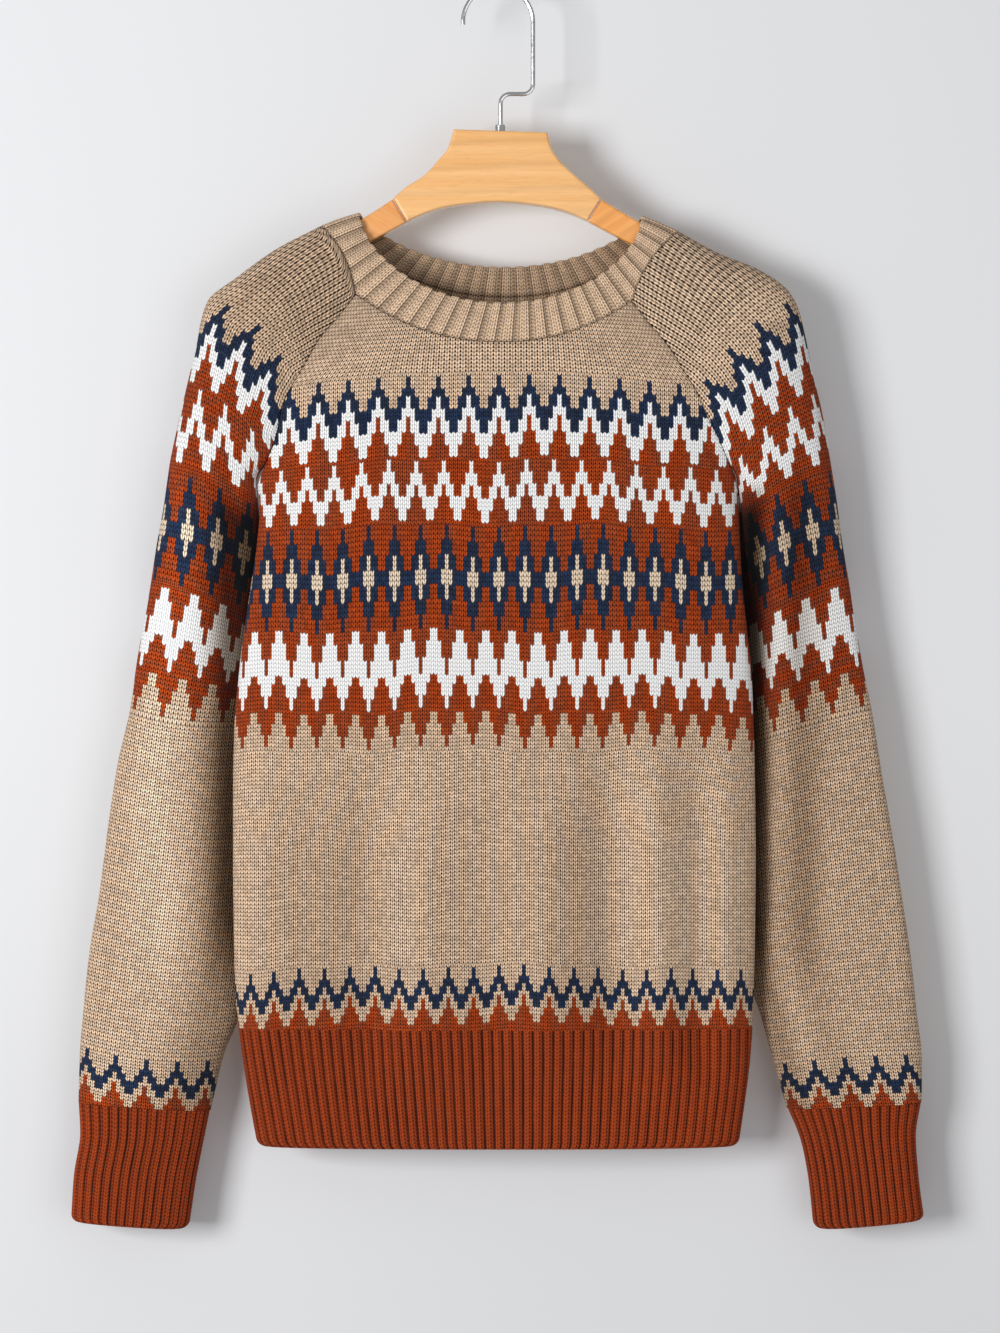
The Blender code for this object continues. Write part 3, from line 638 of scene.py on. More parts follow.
@dataclass(frozen=True)
class RibStitch:
    """The same yarn knitted in rib, plain columns standing beside purled ones.

    The eye gets rounded upright columns of V stitches and narrow furrows darkened by painted shade.
    The UV map "rib" counts ribs across and courses downwards.
    """

    name: str
    colour: str
    wales: int = 1               # plain wales in each rib
    plain_share: float = 0.62    # share of a rib's width that is plain knit
    furrow_shade: float = 0.45   # painted shade: colour left at the bottom of a furrow
    gap_shade: float = 0.45      # painted shade: colour left in the gaps between stitches
    heather: float = 0.25
    yarn_round: float = 0.5
    leg_slope: float = 0.6
    lines: int = 0               # painted highlight lines that the plain wales' legs draw in a rib
    uneven: float = 0.0          # share by which a furrow's painted shade comes and goes
    painted_side_light: float = 0.0        # painted light and shade: share by which a rib is lighter on its left than its right
    patches: tuple[float, float, float] = (110.0, 110.0, 32.0)   # to a metre, x, y and z
    clouds: tuple[float, float] = (0.35, 0.62)   # their noise where a furrow is lightest and full
    line: tuple[float, float] = (0.20, 0.26)   # painted light between the legs' lines, and the painted highlight added on one
    crest: float = 3.0           # power that narrows those lines
    plain_edge: tuple[float, float] = (0.31, 0.27)   # from a rib's middle: plain knit ends, is full
    purl: float = 0.78           # painted shade: light left on the purl wales beside them

    def make(self) -> bpy.types.Material:
        """Build the material.

        Returns:
            The material, reading the UV map "rib" and the mark "furrow".
        """
        made, add, shader = new_material(self.name, **MATT_YARN)
        place = add("SeparateXYZ", add("UVMap", uv_map="rib"))
        rib = add("Math", place.outputs[0], operation="FRACT")
        count = add("Math", place.outputs[0], operation="FLOOR")
        other = add("Math", count, 9.0, operation="MULTIPLY")   # each rib has stitches of its own
        wale = add("Math", rib, self.wales / self.plain_share, other, operation="MULTIPLY_ADD")
        cell = stitch_cell(add, wale, place.outputs[1], self.leg_slope)
        furrow = add("Attribute", attribute_name="furrow").outputs["Fac"]
        spot = add("VectorMath", add("TexCoord").outputs["Object"], self.patches,
                   operation="MULTIPLY")
        patch = add("TexNoise", spot, Scale=1.0, Detail=3.0, Roughness=0.65)
        patch = add("MapRange", patch, *self.clouds, 1.0 - self.uneven, 1.0)
        furrow = add("Math", furrow, patch, operation="MULTIPLY")
        deep = add("Math", furrow, self.furrow_shade - 1.0, 1.0, operation="MULTIPLY_ADD")
        # painted light on a rib's left side, painted shade on its right
        if self.painted_side_light:
            side = add("Math", add("Math", rib, 2 * math.pi, operation="MULTIPLY"), operation="SINE")
            side = add("Math", side, self.painted_side_light, 1.0, operation="MULTIPLY_ADD")
            deep = add("Math", deep, side, operation="MULTIPLY")
        if self.lines:
            deep = add("Math", deep, self.legs(add, rib), operation="MULTIPLY")
        toned = add("VectorMath", linear(self.colour)[:3], operation="SCALE", Scale=deep)
        dress_yarn(add, shader, cell, toned, self.heather, self.gap_shade, self.yarn_round)
        return made

    def legs(self, add: Callable, rib: Socket) -> bpy.types.Node:
        """Painted highlight lines along the plain wales, and painted shade on the purl between them.

        The lines are the crests of a cosine across the rib, narrowed by a
        power and kept to the plain knit in the rib's middle.

        Args:
            add: the material's add_node.
            rib: place across the rib from 0 to 1.

        Returns:
            The node that gives the share of the colour.
        """
        off = add("Math", rib, 0.5, operation="SUBTRACT")
        turn = add("Math", off, 2 * math.pi * self.lines, operation="MULTIPLY")
        crest = add("Math", add("Math", turn, operation="COSINE"), 0.0, operation="MAXIMUM")
        crest = add("Math", crest, self.crest, operation="POWER")
        away = add("Math", off, operation="ABSOLUTE")
        plain = add("MapRange", away, *self.plain_edge, 0.0, 1.0)
        bright = add("Math", crest, self.line[1], self.line[0], operation="MULTIPLY_ADD")
        return add("Math", plain, bright, self.purl, operation="MULTIPLY_ADD")


@dataclass(frozen=True)
class VarnishedWood:
    """Pale lotus wood, planed, sanded and clear varnished.

    The eye gets a honey colour with fine straight grain along the arm, small
    dark pores, and a soft satin gloss on the rounded edges.
    """

    name: str
    light: str
    dark: str
    grain: float = 1.6           # mm between grain lines
    cloud: float = 9.0           # mm between broad light and dark streaks
    pore: float = 0.7            # mm between pores
    run: tuple[float, float, float] = (0.035, 0.35, 1.0)   # how the grain is drawn out
    pore_run: tuple[float, float, float] = (0.06, 0.4, 1.0)
    ring: float = 55.0           # sets how far apart the year rings are
    ring_shade: float = 0.90     # colour left in a year ring
    cloud_share: float = 0.6     # share of the broad streaks in the grain
    grain_ends: tuple[float, float] = (0.36, 0.66)   # grain noise at the dark and light colours
    pore_ends: tuple[float, float] = (0.30, 0.40)    # pore noise inside a pore and beside it
    pore_shade: float = 0.90     # colour left in a pore
    lean: float = 0.0            # radians the grain turns in the front view

    def make(self) -> bpy.types.Material:
        """Build the material.

        Returns:
            The material, reading Object coordinates.
        """
        made, add, shader = new_material(self.name, Roughness=0.42, Coat_Weight=0.25,
                                         Coat_Roughness=0.25)
        place = add("TexCoord").outputs["Object"]
        turned = add("Mapping", place, vector_type="POINT", Rotation=(0.0, self.lean, 0.0))
        long_way = add("VectorMath", turned, self.run, operation="MULTIPLY")
        broad = add("TexNoise", long_way, Scale=1 / (self.cloud * MM), Detail=3.0, Roughness=0.6)
        fine = add("TexNoise", long_way, Scale=1 / (self.grain * MM), Detail=4.0, Roughness=0.65)
        pore_way = add("VectorMath", turned, self.pore_run, operation="MULTIPLY")
        pore = add("TexNoise", pore_way, Scale=1 / (self.pore * MM), Detail=1.0)
        lines = add("Math", fine, 1 - self.cloud_share, operation="MULTIPLY")
        mixed = add("Math", broad, self.cloud_share, lines, operation="MULTIPLY_ADD")
        share = add("MapRange", mixed, *self.grain_ends, 0.0, 1.0)
        tone = add("Mix", share, data_type="RGBA")
        tone.inputs["A"].default_value = linear(self.dark)
        tone.inputs["B"].default_value = linear(self.light)
        dots = add("MapRange", pore, *self.pore_ends, self.pore_shade, 1.0)
        ring = add("TexWave", turned, bands_direction="Z", Scale=1 / (self.ring * MM), Distortion=6.0,
                   Detail=2.0, Detail_Scale=0.15)
        rings = add("MapRange", ring, 0.0, 0.25, self.ring_shade, 1.0)
        dots = add("Math", dots, rings, operation="MULTIPLY")
        tinted = add("VectorMath", tone.outputs["Result"], operation="SCALE", Scale=dots)
        bump = add("Bump", Height=fine, Strength=0.25, Distance=0.05 * MM)
        feed(shader, Base_Color=tinted, Normal=bump)
        return made


@dataclass(frozen=True)
class PlatedWire:
    """Drawn steel wire, bright nickel plated.

    The eye gets a mirror-bright rod with a slight haze and fine drawing lines.
    """

    name: str
    colour: str = "#C9CACC"
    haze: float = 2.5            # mm between patches of haze
    rough: tuple[float, float] = (0.14, 0.26)   # roughness in clear and in hazy patches

    def make(self) -> bpy.types.Material:
        """Build the material.

        Returns:
            The material, reading Object coordinates.
        """
        made, add, shader = new_material(self.name, Base_Color=linear(self.colour), Metallic=1.0)
        place = add("TexCoord").outputs["Object"]
        haze = add("TexNoise", place, Scale=1 / (self.haze * MM), Detail=3.0)
        feed(shader, Roughness=add("MapRange", haze, 0.3, 0.7, *self.rough))
        return made


# ---------------------------------------------------------------- cloth shape
KNIT_WALL = 2.0              # mm of the body's and sleeves' cloth
RIB_WALL = 2.4               # mm of the hem's and cuffs' rib
COLLAR_WALL = 2.8            # mm of the folded neck rib
SEAM_GAP = 0.3               # mm between two pieces at a seam
RAGLAN_CLEAR = 0.22          # mm more that each edge stands back along a raglan seam
EDGE_POWER = 0.85            # how round an oval's sides are, 1 for a circle's
DEEPEST_SEAM = 0.98          # most of an oval's depth that a seam at its side can have
SAG_POWER = 2.2              # how evenly a row sags from its seams to its middle
EDGE_CALM = 0.12             # share of a half width at an edge where folds fade out
END_FADE = 0.3               # stations over which an end's gap fades out
ARMPIT = 8                   # station of the armpit in the yoke tables
SEAM_ROLL = 0.35             # mm an edge rolls in at a seam
SEAM_WIDE = 0.9              # mm over which it does
KNIT_ON = 0.04               # mm left between a panel and the rib knitted on to it
CORNER = 6.0                 # mm radius of the rounded lower corners of hem and cuffs
# Rows in such a corner, in radii above the edge, and mm that the rows of the
# rim lie below its start.
CORNER_ROWS = np.array([1.0, 0.8, 0.62, 0.46, 0.32])
RIM_ROWS = np.array([0.35, 0.7, 1.0, 1.2])
NECK_LINE = 20.5             # mm below the neck's edge where its seam shows inside
NECK_INSIDE = 0.26           # share by which the inside of the neck rib is darker: its purl face and painted shade
NECK_LINE_SHADE = 0.35       # and how much more its seam is
CLOSE_STOPS = (0.5, 1.1, 1.9, 3.0)   # mm from a seam of the rows that lie close there
MID_X = 0.7                  # middle of the front
# Station, and mm that a sleeve's inner edge lies tucked in behind the body's side.
TUCK = np.array([(8.0, 0.0), (8.5, 0.7), (9.0, 2.4), (12.0, 2.4), (14.0, 0.0)])

# Yoke rows from one raglan seam to the other.  Columns: left seam x and z,
# right seam x and z, drop of the middle, depth at the middle, depth at the
# seams.  The last row is the armpit.
FRONT_YOKE = np.array([
    (-99, -215, 93, -220, 31, 23.0, 17.0),
    (-111, -231, 106.5, -237, 25, 24.5, 18.5),
    (-124, -246, 119.5, -252.5, 20, 25.5, 19.5),
    (-136, -267, 130, -270, 14, 26.5, 20.0),
    (-143.5, -279, 138.5, -283.5, 11, 27.0, 19.5),
    (-150, -293, 147, -303, 8, 27.5, 18.0),
    (-155, -315, 154.5, -317, 5, 28.0, 15.0),
    (-161.5, -331, 161.5, -332.5, 2, 28.0, 10.0),
    (-169, -346.5, 167, -342, 0, 28.0, 0.0),
])
BACK_YOKE = np.array([
    (-90, -192, 90, -197, 25.5, 20.0, 15.5),
    (-104, -212, 104, -216, 21, 21.5, 17.0),
    (-118, -232, 117, -236, 17, 22.5, 18.0),
    (-131, -255, 129, -258, 12, 23.5, 18.5),
    (-140, -270, 138, -274, 9, 24.0, 18.0),
    (-148, -287, 146.5, -296, 7, 24.5, 16.5),
    (-154, -311, 154, -314, 4, 25.0, 14.0),
    (-161, -329.5, 161.5, -331.5, 2, 25.0, 9.5),
    (-169, -346.5, 167, -342, 0, 25.0, 0.0),
])
# Body rows below the armpits.  Columns: z, left edge, right edge, depth of
# the front, depth of the back.
BODY_ROWS = np.array([
    (-365, -167, 168.5, 28.0, 25.0),
    (-390, -169, 169.5, 27.5, 24.5),
    (-415, -172.5, 171, 27.0, 24.0),
    (-445, -177, 174, 26.5, 23.5),
    (-480, -181.5, 177.5, 26.0, 23.0),
    (-515, -184.5, 179, 26.0, 23.0),
    (-560, -185.5, 180, 26.5, 23.5),
    (-610, -185.5, 180.5, 27.0, 24.0),
    (-660, -185, 180, 27.0, 24.0),
    (-700, -184, 179, 26.5, 23.5),
    (-727, -181.5, 178, 25.5, 22.5),
])
HEM_ROWS = np.array([
    (-727, -181.5, 178, 25.5, 22.5),
    (-752, -178, 176, 24.5, 22.0),
    (-783, -173, 172, 23.0, 21.0),
    (-810, -168, 168, 22.0, 20.5),
])
# Sleeve stations from the neck to the cuff, the same in both sleeves.  Columns:
# depth front, depth back, seam depth front, seam depth back, y of the inner
# edge, y of the outer edge, bow.
SLEEVE_DEPTHS = np.array([
    (17.5, 16, 17, 15.5, 0, 0, 5), (19, 17.5, 18.5, 17, 0, 0, 3.5), (20.3, 18.8, 19.5, 18, 0, 0, 2),
    (21, 19.5, 20, 18.5, 0, 0, 1), (21.5, 20, 19.5, 18, 0, 0.5, 0), (21.5, 20, 18, 16.5, 0, 1.5, 0),
    (21, 20, 15, 14, 0, 2.5, 0), (20.5, 19.5, 10, 9.5, 0, 4, 0), (20, 19.5, 0, 0, 0, 5, 0),
    (19.5, 19, 0, 0, 9, 6, 0), (19, 19, 0, 0, 14, 7, 0), (18.5, 18.5, 0, 0, 18, 8, 0),
    (18, 18, 0, 0, 20, 8, 0), (18, 18, 0, 0, 20.5, 8, 0), (17.5, 17.5, 0, 0, 20.5, 8, 0),
    (17.5, 17.5, 0, 0, 20.5, 8, 0), (17, 17, 0, 0, 20.5, 8, 0), (17, 17, 0, 0, 20, 8, 0),
    (17, 17, 0, 0, 18, 8, 0), (17, 17, 0, 0, 15, 8, 0), (16, 16, 0, 0, 12, 8, 0),
])
# Outer edges at those stations, and inner edges at the ones below the armpit.
# Columns: x, z.
LEFT_OUTER = np.array([
    (-124, -166), (-155, -182), (-183, -202), (-203, -218), (-208, -233), (-211, -249), (-218, -278),
    (-225.5, -310), (-230.5, -334), (-235, -365), (-239.5, -389), (-245, -424), (-253.5, -471),
    (-258, -503), (-267, -542.5), (-273, -581), (-280, -634), (-287, -676), (-291, -715),
    (-293.5, -746), (-294.5, -780),
])
LEFT_INNER = np.array([
    (-168, -382), (-168, -407), (-169.5, -440), (-171, -488), (-172, -516), (-173, -554),
    (-173.5, -593), (-173.5, -645), (-175, -685), (-182, -720), (-192.5, -746), (-202, -786),
])
RIGHT_OUTER = np.array([
    (126.5, -170), (155.5, -185.5), (181.5, -196), (203.5, -211.5), (210.5, -224.5), (215, -242),
    (220, -266.5), (227, -295.5), (231.5, -320.5), (237.5, -357.5), (241, -383.5), (246.5, -416),
    (256, -474), (262, -503), (269.5, -550), (276, -587), (283.5, -635), (290, -680), (294, -718),
    (297.5, -748), (297.5, -780),
])
RIGHT_INNER = np.array([
    (171, -377), (172, -406.5), (173.5, -440), (173.5, -495), (173, -524), (172, -567.5),
    (171.5, -602.5), (171.5, -647.5), (175, -688), (185.5, -721.5), (193, -749.5), (203, -784.5),
])
# Cuff rows.  Columns: outer x and z, inner x and z, depth, y inner, y outer.
LEFT_CUFF = np.array([
    (-294, -780.4, -203, -786.3, 15.5, 12, 8),
    (-293, -802, -206.5, -804, 14.5, 11, 8),
    (-297.5, -832, -212.5, -835, 14.0, 10, 8),
    (-299.5, -864, -217.5, -869, 13.5, 10, 8),
])
RIGHT_CUFF = np.array([
    (296.5, -780.4, 204, -784.8, 15.5, 12, 8),
    (293, -804, 213, -807, 14.5, 11, 8),
    (295, -832, 218.5, -835, 14.0, 10, 8),
    (299, -863, 222, -869, 13.5, 10, 8),
])


@dataclass(frozen=True)
class Fold:
    """One soft fold along a line: a bell across it, faded in at both ends.

    Attributes:
        start: x and z of its upper end.
        end: x and z of its lower end.
        wide: half width of the bell.
        tall: mm it stands out, less than none where it sinks.
        fade: mm over which it fades in at either end.
    """

    start: tuple[float, float]
    end: tuple[float, float]
    wide: float
    tall: float
    fade: float = 60.0

    def height(self, x: Array, z: Array) -> Array:
        """The height it adds at each place.

        Args:
            x: places across.
            z: places up.

        Returns:
            The height in mm.
        """
        way = np.subtract(self.end, self.start)
        length = float(np.hypot(*way))
        way = way / length
        dx, dz = x - self.start[0], z - self.start[1]
        along = dx * way[0] + dz * way[1]
        off = (dx * way[1] - dz * way[0]) / self.wide
        ends = smooth_step(along / self.fade) * smooth_step((length - along) / self.fade)
        return self.tall * np.exp(-off * off) * ends


# Folds from left to right over the front, hollows between swells: the deepest
# hollows are a quarter of the way in from either side and lean outwards.
FRONT_FOLDS = (
    Fold((-166, -520), (-168, -790), 22, 3.6, 90),
    Fold((-88, -505), (-91, -800), 20, -6.2, 90),
    Fold((-50, -540), (-54, -795), 15, 4.0, 80),
    Fold((-8, -520), (-9, -800), 14, -3.2, 90),
    Fold((34, -530), (32, -790), 17, 4.4, 80),
    Fold((77, -480), (82, -800), 16, -6.6, 90),
    Fold((109, -490), (114, -795), 13, 5.2, 80),
    Fold((139, -500), (141, -800), 10, -4.4, 80),
    Fold((163, -500), (164, -780), 9, 2.4, 70),
)
# The back's folds, from right to left as its front is seen.
BACK_FOLDS = (
    Fold((104, -500), (110, -800), 22, -4.6, 90),
    Fold((58, -520), (64, -795), 16, 3.0, 80),
    Fold((14, -540), (12, -790), 19, -3.4, 90),
    Fold((-30, -500), (-38, -800), 15, 2.8, 80),
    Fold((-72, -480), (-90, -800), 18, -5.2, 90),
    Fold((-112, -500), (-124, -795), 13, 3.6, 80),
    Fold((-150, -530), (-148, -790), 11, -2.8, 70),
)
# The sleeves' folds: each has a hollow beside the body and softer ones outside it.
LEFT_FOLDS = (
    Fold((-186, -318), (-189, -680), 7, -4.5),
    Fold((-205, -330), (-217, -560), 10, 1.2),
    Fold((-233, -560), (-243, -735), 9, -1.8),
)
RIGHT_FOLDS = (
    Fold((184, -340), (187, -690), 8, -6.0),
    Fold((212, -300), (215, -520), 7.5, -2.6),
    Fold((200, -330), (202, -640), 10, 2.2),
    Fold((219, -545), (223, -730), 8.5, -2.2),
    Fold((244, -400), (272, -740), 20, -1.8),
)
LEFT_BACK_FOLDS = (
    Fold((-203, -310), (-210, -505), 9, -1.8),
    Fold((-222, -540), (-232, -725), 10, -2.0),
)
RIGHT_BACK_FOLDS = (
    Fold((196, -320), (200, -480), 8, -1.7),
    Fold((231, -500), (240, -700), 10, -1.9),
)


def folds_height(folds: tuple[Fold, ...], x: Array, z: Array) -> Array:
    """The height of several folds together."""
    return sum((fold.height(x, z) for fold in folds), np.zeros(np.broadcast(x, z).shape))


def at_end(away: Array) -> Array:
    """1 at a piece's end, falling to none END_FADE stations away from it, as a column."""
    return np.clip(1 - away / END_FADE, 0, 1)[:, None]


def raglan_clear(at: Array) -> Array:
    """How far a piece stands back at a station, none below the armpit, as a column."""
    return np.interp(at, [ARMPIT, ARMPIT + 1], [RAGLAN_CLEAR, 0])[:, None]


def rows_past_armpit(above: Array, below: Array, at: Array) -> Array:
    """Row values at stations, by one table down to the armpit and by another from it."""
    high = smooth_rows(above, np.minimum(at, ARMPIT))
    low = smooth_rows(below, np.maximum(at - ARMPIT, 0))
    return np.where((at < ARMPIT)[:, None], high, low)


def superoval(across: Array) -> Array:
    """Depth share of an oval at a share of its half width, fuller than a circle.

    One less the distance to the power 2/0.85, and the rest to the power 0.85/2.
    """
    return np.clip(1 - np.abs(across) ** (2 / EDGE_POWER), 0, 1) ** (EDGE_POWER / 2)


def cut_share(seam: Array, depth: Array) -> Array:
    """Where an oval of this depth has the seam's depth, as a share of its half."""
    rise = np.minimum(seam / depth, DEEPEST_SEAM) ** (2 / EDGE_POWER)
    return (1 - rise) ** (EDGE_POWER / 2)


def seam_mark(*distances: Array) -> Array:
    """1 at a seam, falling off as a bell with the distance from the nearest one."""
    nearest = np.minimum.reduce(np.broadcast_arrays(*distances))
    return np.exp(-(nearest / SEAM_WIDE) ** 2)


def seams_of(grid: Array) -> tuple[Array, Array]:
    """Length along each row, and the mark of the seams at its sides and top."""
    run = run_length(grid)
    return run, seam_mark(run, run[:, -1:] - run, run_length(grid.swapaxes(0, 1)).T)


@dataclass
class ClothPiece:
    """What every cloth piece has: a name, a slot, a finish and its flat cut."""

    name: str
    slot: str
    flat_mm: tuple[float, float]
    cut_mm2: float
    finish: bpy.types.Material

    def dress(self, shell: Shell, joined: tuple[str, ...]) -> None:
        """Build the shell, put its finish on and state what it is.

        Args:
            shell: the piece's shape.
            joined: the pieces it hangs from; not used.
        """
        thing = shell.build(self.name + "_knit")
        thing.data.materials.append(self.finish)
        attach(thing, ROOT_BODY)
        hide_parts(self.name)
        log.info("%s: %d faces, %.4f m2, cut %.4f m2", thing.name, len(thing.data.polygons),
                 surface_area(shell.outer) * MM * MM, self.cut_mm2 * MM * MM)


def surface_area(grid: Array) -> float:
    """Area of a grid's surface in square mm, from the cross of its cell's sides."""
    across, down = np.diff(grid, axis=1)[:-1], np.diff(grid, axis=0)[:, :-1]
    return float(np.linalg.norm(np.cross(across, down), axis=-1).sum())


YOKE_COURSE = 2.7            # mm between courses over the bands
PLAIN_COURSE = 2.6           # mm between courses below them
PLAIN_WALE = 3.1             # mm between wales of the plain body
YOKE_WALE = 3.85             # mm between wales of the plain yoke
LAST_YOKE_COURSE = 20        # course where the body's wales become the plain ones
FAN = 0.45                   # how far the yoke's wales spread to its seams
FAN_COURSES = 20             # courses above the chart over which they come to do so
DROOP_REACH = 150            # mm from the middle to where a row's droop is given
# Waves that pull the courses uneven.  Columns: mm they lift, mm across and mm
# up for a radian of the wave, radians it is shifted.
PULLS = ((1.1, 21, 80, 0), (0.7, 8.3, -47, 1))
PULL_FROM, PULL_FADE = -250, 60   # height where the pull begins, and mm until it is full


@dataclass
class CourseMap:
    """Courses of the front or back at heights of its middle line.

    Attributes:
        table: course number and the height of the middle line there.
        droop: height, and how much lower the course runs DROOP_REACH to the side.
    """

    table: Array
    droop: Array

    def at(self, x: Array, z: Array) -> Array:
        """Chart course at each place: lifted by the droop and pulled uneven by waves.

        Args:
            x: places across from the middle.
            z: places up.

        Returns:
            The course, a whole number at its upper edge.
        """
        pull = sum(lift * np.sin(x / wide + z / tall + shift) for lift, wide, tall, shift in PULLS)
        pull = pull * np.clip((PULL_FROM - z) / PULL_FADE, 0, 1)
        return self.straight(z + read_table(self.droop, z) * (x / DROOP_REACH) ** 2 + pull)

    def straight(self, z: Array) -> Array:
        """Chart course at heights on the middle line, carried on beyond its ends."""
        course = read_table(self.table[:, ::-1], z)
        above = np.maximum(z - self.table[0, 1], 0) / YOKE_COURSE
        below = np.maximum(self.table[-1, 1] - z, 0) / PLAIN_COURSE
        return course - above + below


BODY_COURSES = CourseMap(
    table=np.array([(0, -272.4), (20, -329.0), (36, -373.6), (57, -447.0), (77, -504.2),
                    (87, -530.5), (144, -680.3), (162, -727.0)]),
    droop=np.array([(-250, 8.0), (-300, 8.0), (-373, 3.0), (-440, 1.5), (-540, 1.5),
                    (-680, 3.5), (-727, 3.5)]),
)
# First course and width of a wale in mm: the yoke is narrowed in the plain
# rust courses above and below its second row of zigzags.
BODY_WALES = ((-99.0, 3.0), (20.5, 2.73), (36.5, 2.586), (110.0, 2.53))
SLEEVE_WALES = ((-99.0, 1.0),)


# Distance across from the middle in mm, and the share of light painted into the
# front: below 1 painted shade in its soft hollows, above 1 painted light.
FRONT_TONE = np.array([(-190, 1.06), (-165, 0.93), (-140, 0.85), (-105, 0.87), (-80, 0.95),
                       (-60, 1.0), (-8, 0.95), (30, 0.95), (60, 0.85), (82, 0.99), (105, 1.05),
                       (130, 1.05), (190, 1.02)])
# Heights where that painted shade begins and has ended, and mm over which it
# fades in from the first and out towards the second.
TONE_TOP, TONE_IN, TONE_FOOT, TONE_OUT = -500, 130, -745, 50


def plain_lines(course: Array, heights: Array, zone: tuple[float, float]) -> Array:
    """Lines of plain knit, whole numbers where the chart's bands end and begin again.

    Args:
        course: the chart course at each place.
        heights: course numbers and the height of the middle line there.
        zone: first and last course of the plain zone.

    Returns:
        The line, the same as the course above the bands.
    """
    level = read_table(heights, course)
    top, low = read_table(heights, np.array(zone))
    count = round((top - low) / PLAIN_COURSE)
    return np.where(course < 0, course, zone[0] + (top - level) / (top - low) * count)


@dataclass
class BodyPanel(ClothPiece):
    """The front or the back of the body, from the neck seam to the hem rib."""

    side: int = -1
    yoke: Array = field(default_factory=lambda: FRONT_YOKE)
    folds: tuple[Fold, ...] = FRONT_FOLDS
    courses: CourseMap = field(default_factory=lambda: BODY_COURSES)
    row_step: float = 2.5        # mm between rows
    half_columns: int = 52
    ruler: int = 600             # stations by which its length is measured

    def table(self) -> tuple[Array, Array]:
        """The yoke rows, and the body rows from the armpit in the same columns."""
        depth = 3 if self.side < 0 else 4
        z, left, right = BODY_ROWS[:, 0], BODY_ROWS[:, 1], BODY_ROWS[:, 2]
        none = np.zeros_like(z)
        below = np.stack([left, z, right, z, none, BODY_ROWS[:, depth], none], axis=1)
        return self.yoke, np.concatenate([self.yoke[-1:], below])

    def rows(self, at: Array) -> Array:
        """Row values at stations: the yoke down to the armpit, then the body."""
        return rows_past_armpit(*self.table(), at)

    @property
    def last(self) -> int:
        """The station of the hem seam."""
        return len(self.yoke) - 1 + len(BODY_ROWS)

    def surface(self, at: Array, span: Array, wall: float) -> Array:
        """The panel at one depth in the cloth.

        x runs from seam to seam, z falls to the row's sag in the middle, and
        the depth is an oval cut off where it has the seam's depth, plus folds.

        Args:
            at: stations down the piece.
            span: places across from -1 to 1.
            wall: mm in from the outside.

        Returns:
            Points in mm as rows, columns and x, y, z.
        """
        lx, lz, rx, rz, sag, depth, seam = self.rows(at).T[:, :, None]
        share = cut_share(seam, depth)
        across = span[None] * share
        full = ((rx - lx) / 2 - raglan_clear(at)) / share
        x = (lx + rx) / 2 + across * (full - wall)
        z = (lz + rz) / 2 + span * (rz - lz) / 2 - sag * (1 - np.abs(span) ** SAG_POWER)
        z = z - SEAM_GAP * at_end(at) + KNIT_ON * at_end(self.last - at)
        calm = np.clip((1 - np.abs(span)) / EDGE_CALM, 0, 1)
        swell = folds_height(self.folds, x, z) * calm
        y = self.side * (SEAM_GAP / 2 + (depth - wall) * superoval(across) + swell)
        return np.stack([x, y, z], axis=-1)

    def shell(self) -> Shell:
        """Both sides of the panel with its chart, its stitches and its seams.

        Returns:
            The closed shell.
        """
        fine = np.linspace(0, self.last, self.ruler)
        middle = self.surface(fine, np.zeros(1), 0)[:, 0]
        drop = middle[0, 2] - middle[:, 2]
        at = np.interp(stops(drop[-1], self.row_step, CLOSE_STOPS), drop, fine)
        span = np.sin(np.linspace(-1, 1, 2 * self.half_columns + 1) * math.pi / 2)
        outer, inner = self.surface(at, span, 0), self.surface(at, span, KNIT_WALL)
        run, mark = seams_of(outer)
        outer[..., 1] -= self.side * SEAM_ROLL * mark
        marks = {"seam": mark}
        # only the front gets painted shade in its hollows and painted light beside them
        if self.side < 0:
            z = outer[..., 2]
            shaded = smooth_step((TONE_TOP - z) / TONE_IN) * smooth_step((z - TONE_FOOT) / TONE_OUT)
            marks["painted_light_shade_and_seam"] = (1 - read_table(FRONT_TONE, outer[..., 0])) * shaded
        return Shell(outer, inner, maps=self.stitch_maps(outer, run), marks=marks)

    def stitch_maps(self, grid: Array, run: Array) -> dict[str, Array]:
        """The chart map and the stitch map of the panel.

        The place across is the length along the row from the middle, over the
        width of a wale; the yoke's wales fan out towards its seams.

        Args:
            grid: the outer points.
            run: length along each row.

        Returns:
            The two UV maps.
        """
        x, z = grid[..., 0], grid[..., 2]
        origin = np.array([np.interp(MID_X, row_x, row_run) for row_x, row_run in zip(x, run)])
        arc = run - origin[:, None]
        course = self.courses.at(x - MID_X, z)
        rise = np.clip(-course / FAN_COURSES, 0, 1)
        half = np.abs(arc).max(axis=1, keepdims=True)
        spread = arc * (1 + FAN * rise * (arc / half) ** 2)
        wide = np.where(course < LAST_YOKE_COURSE, YOKE_WALE, PLAIN_WALE)
        lines = plain_lines(course, self.courses.table, Chart().plain_zone())
        return {"chart": np.stack([spread, course], axis=-1),
                "stitch": np.stack([spread / wide, lines], axis=-1)}


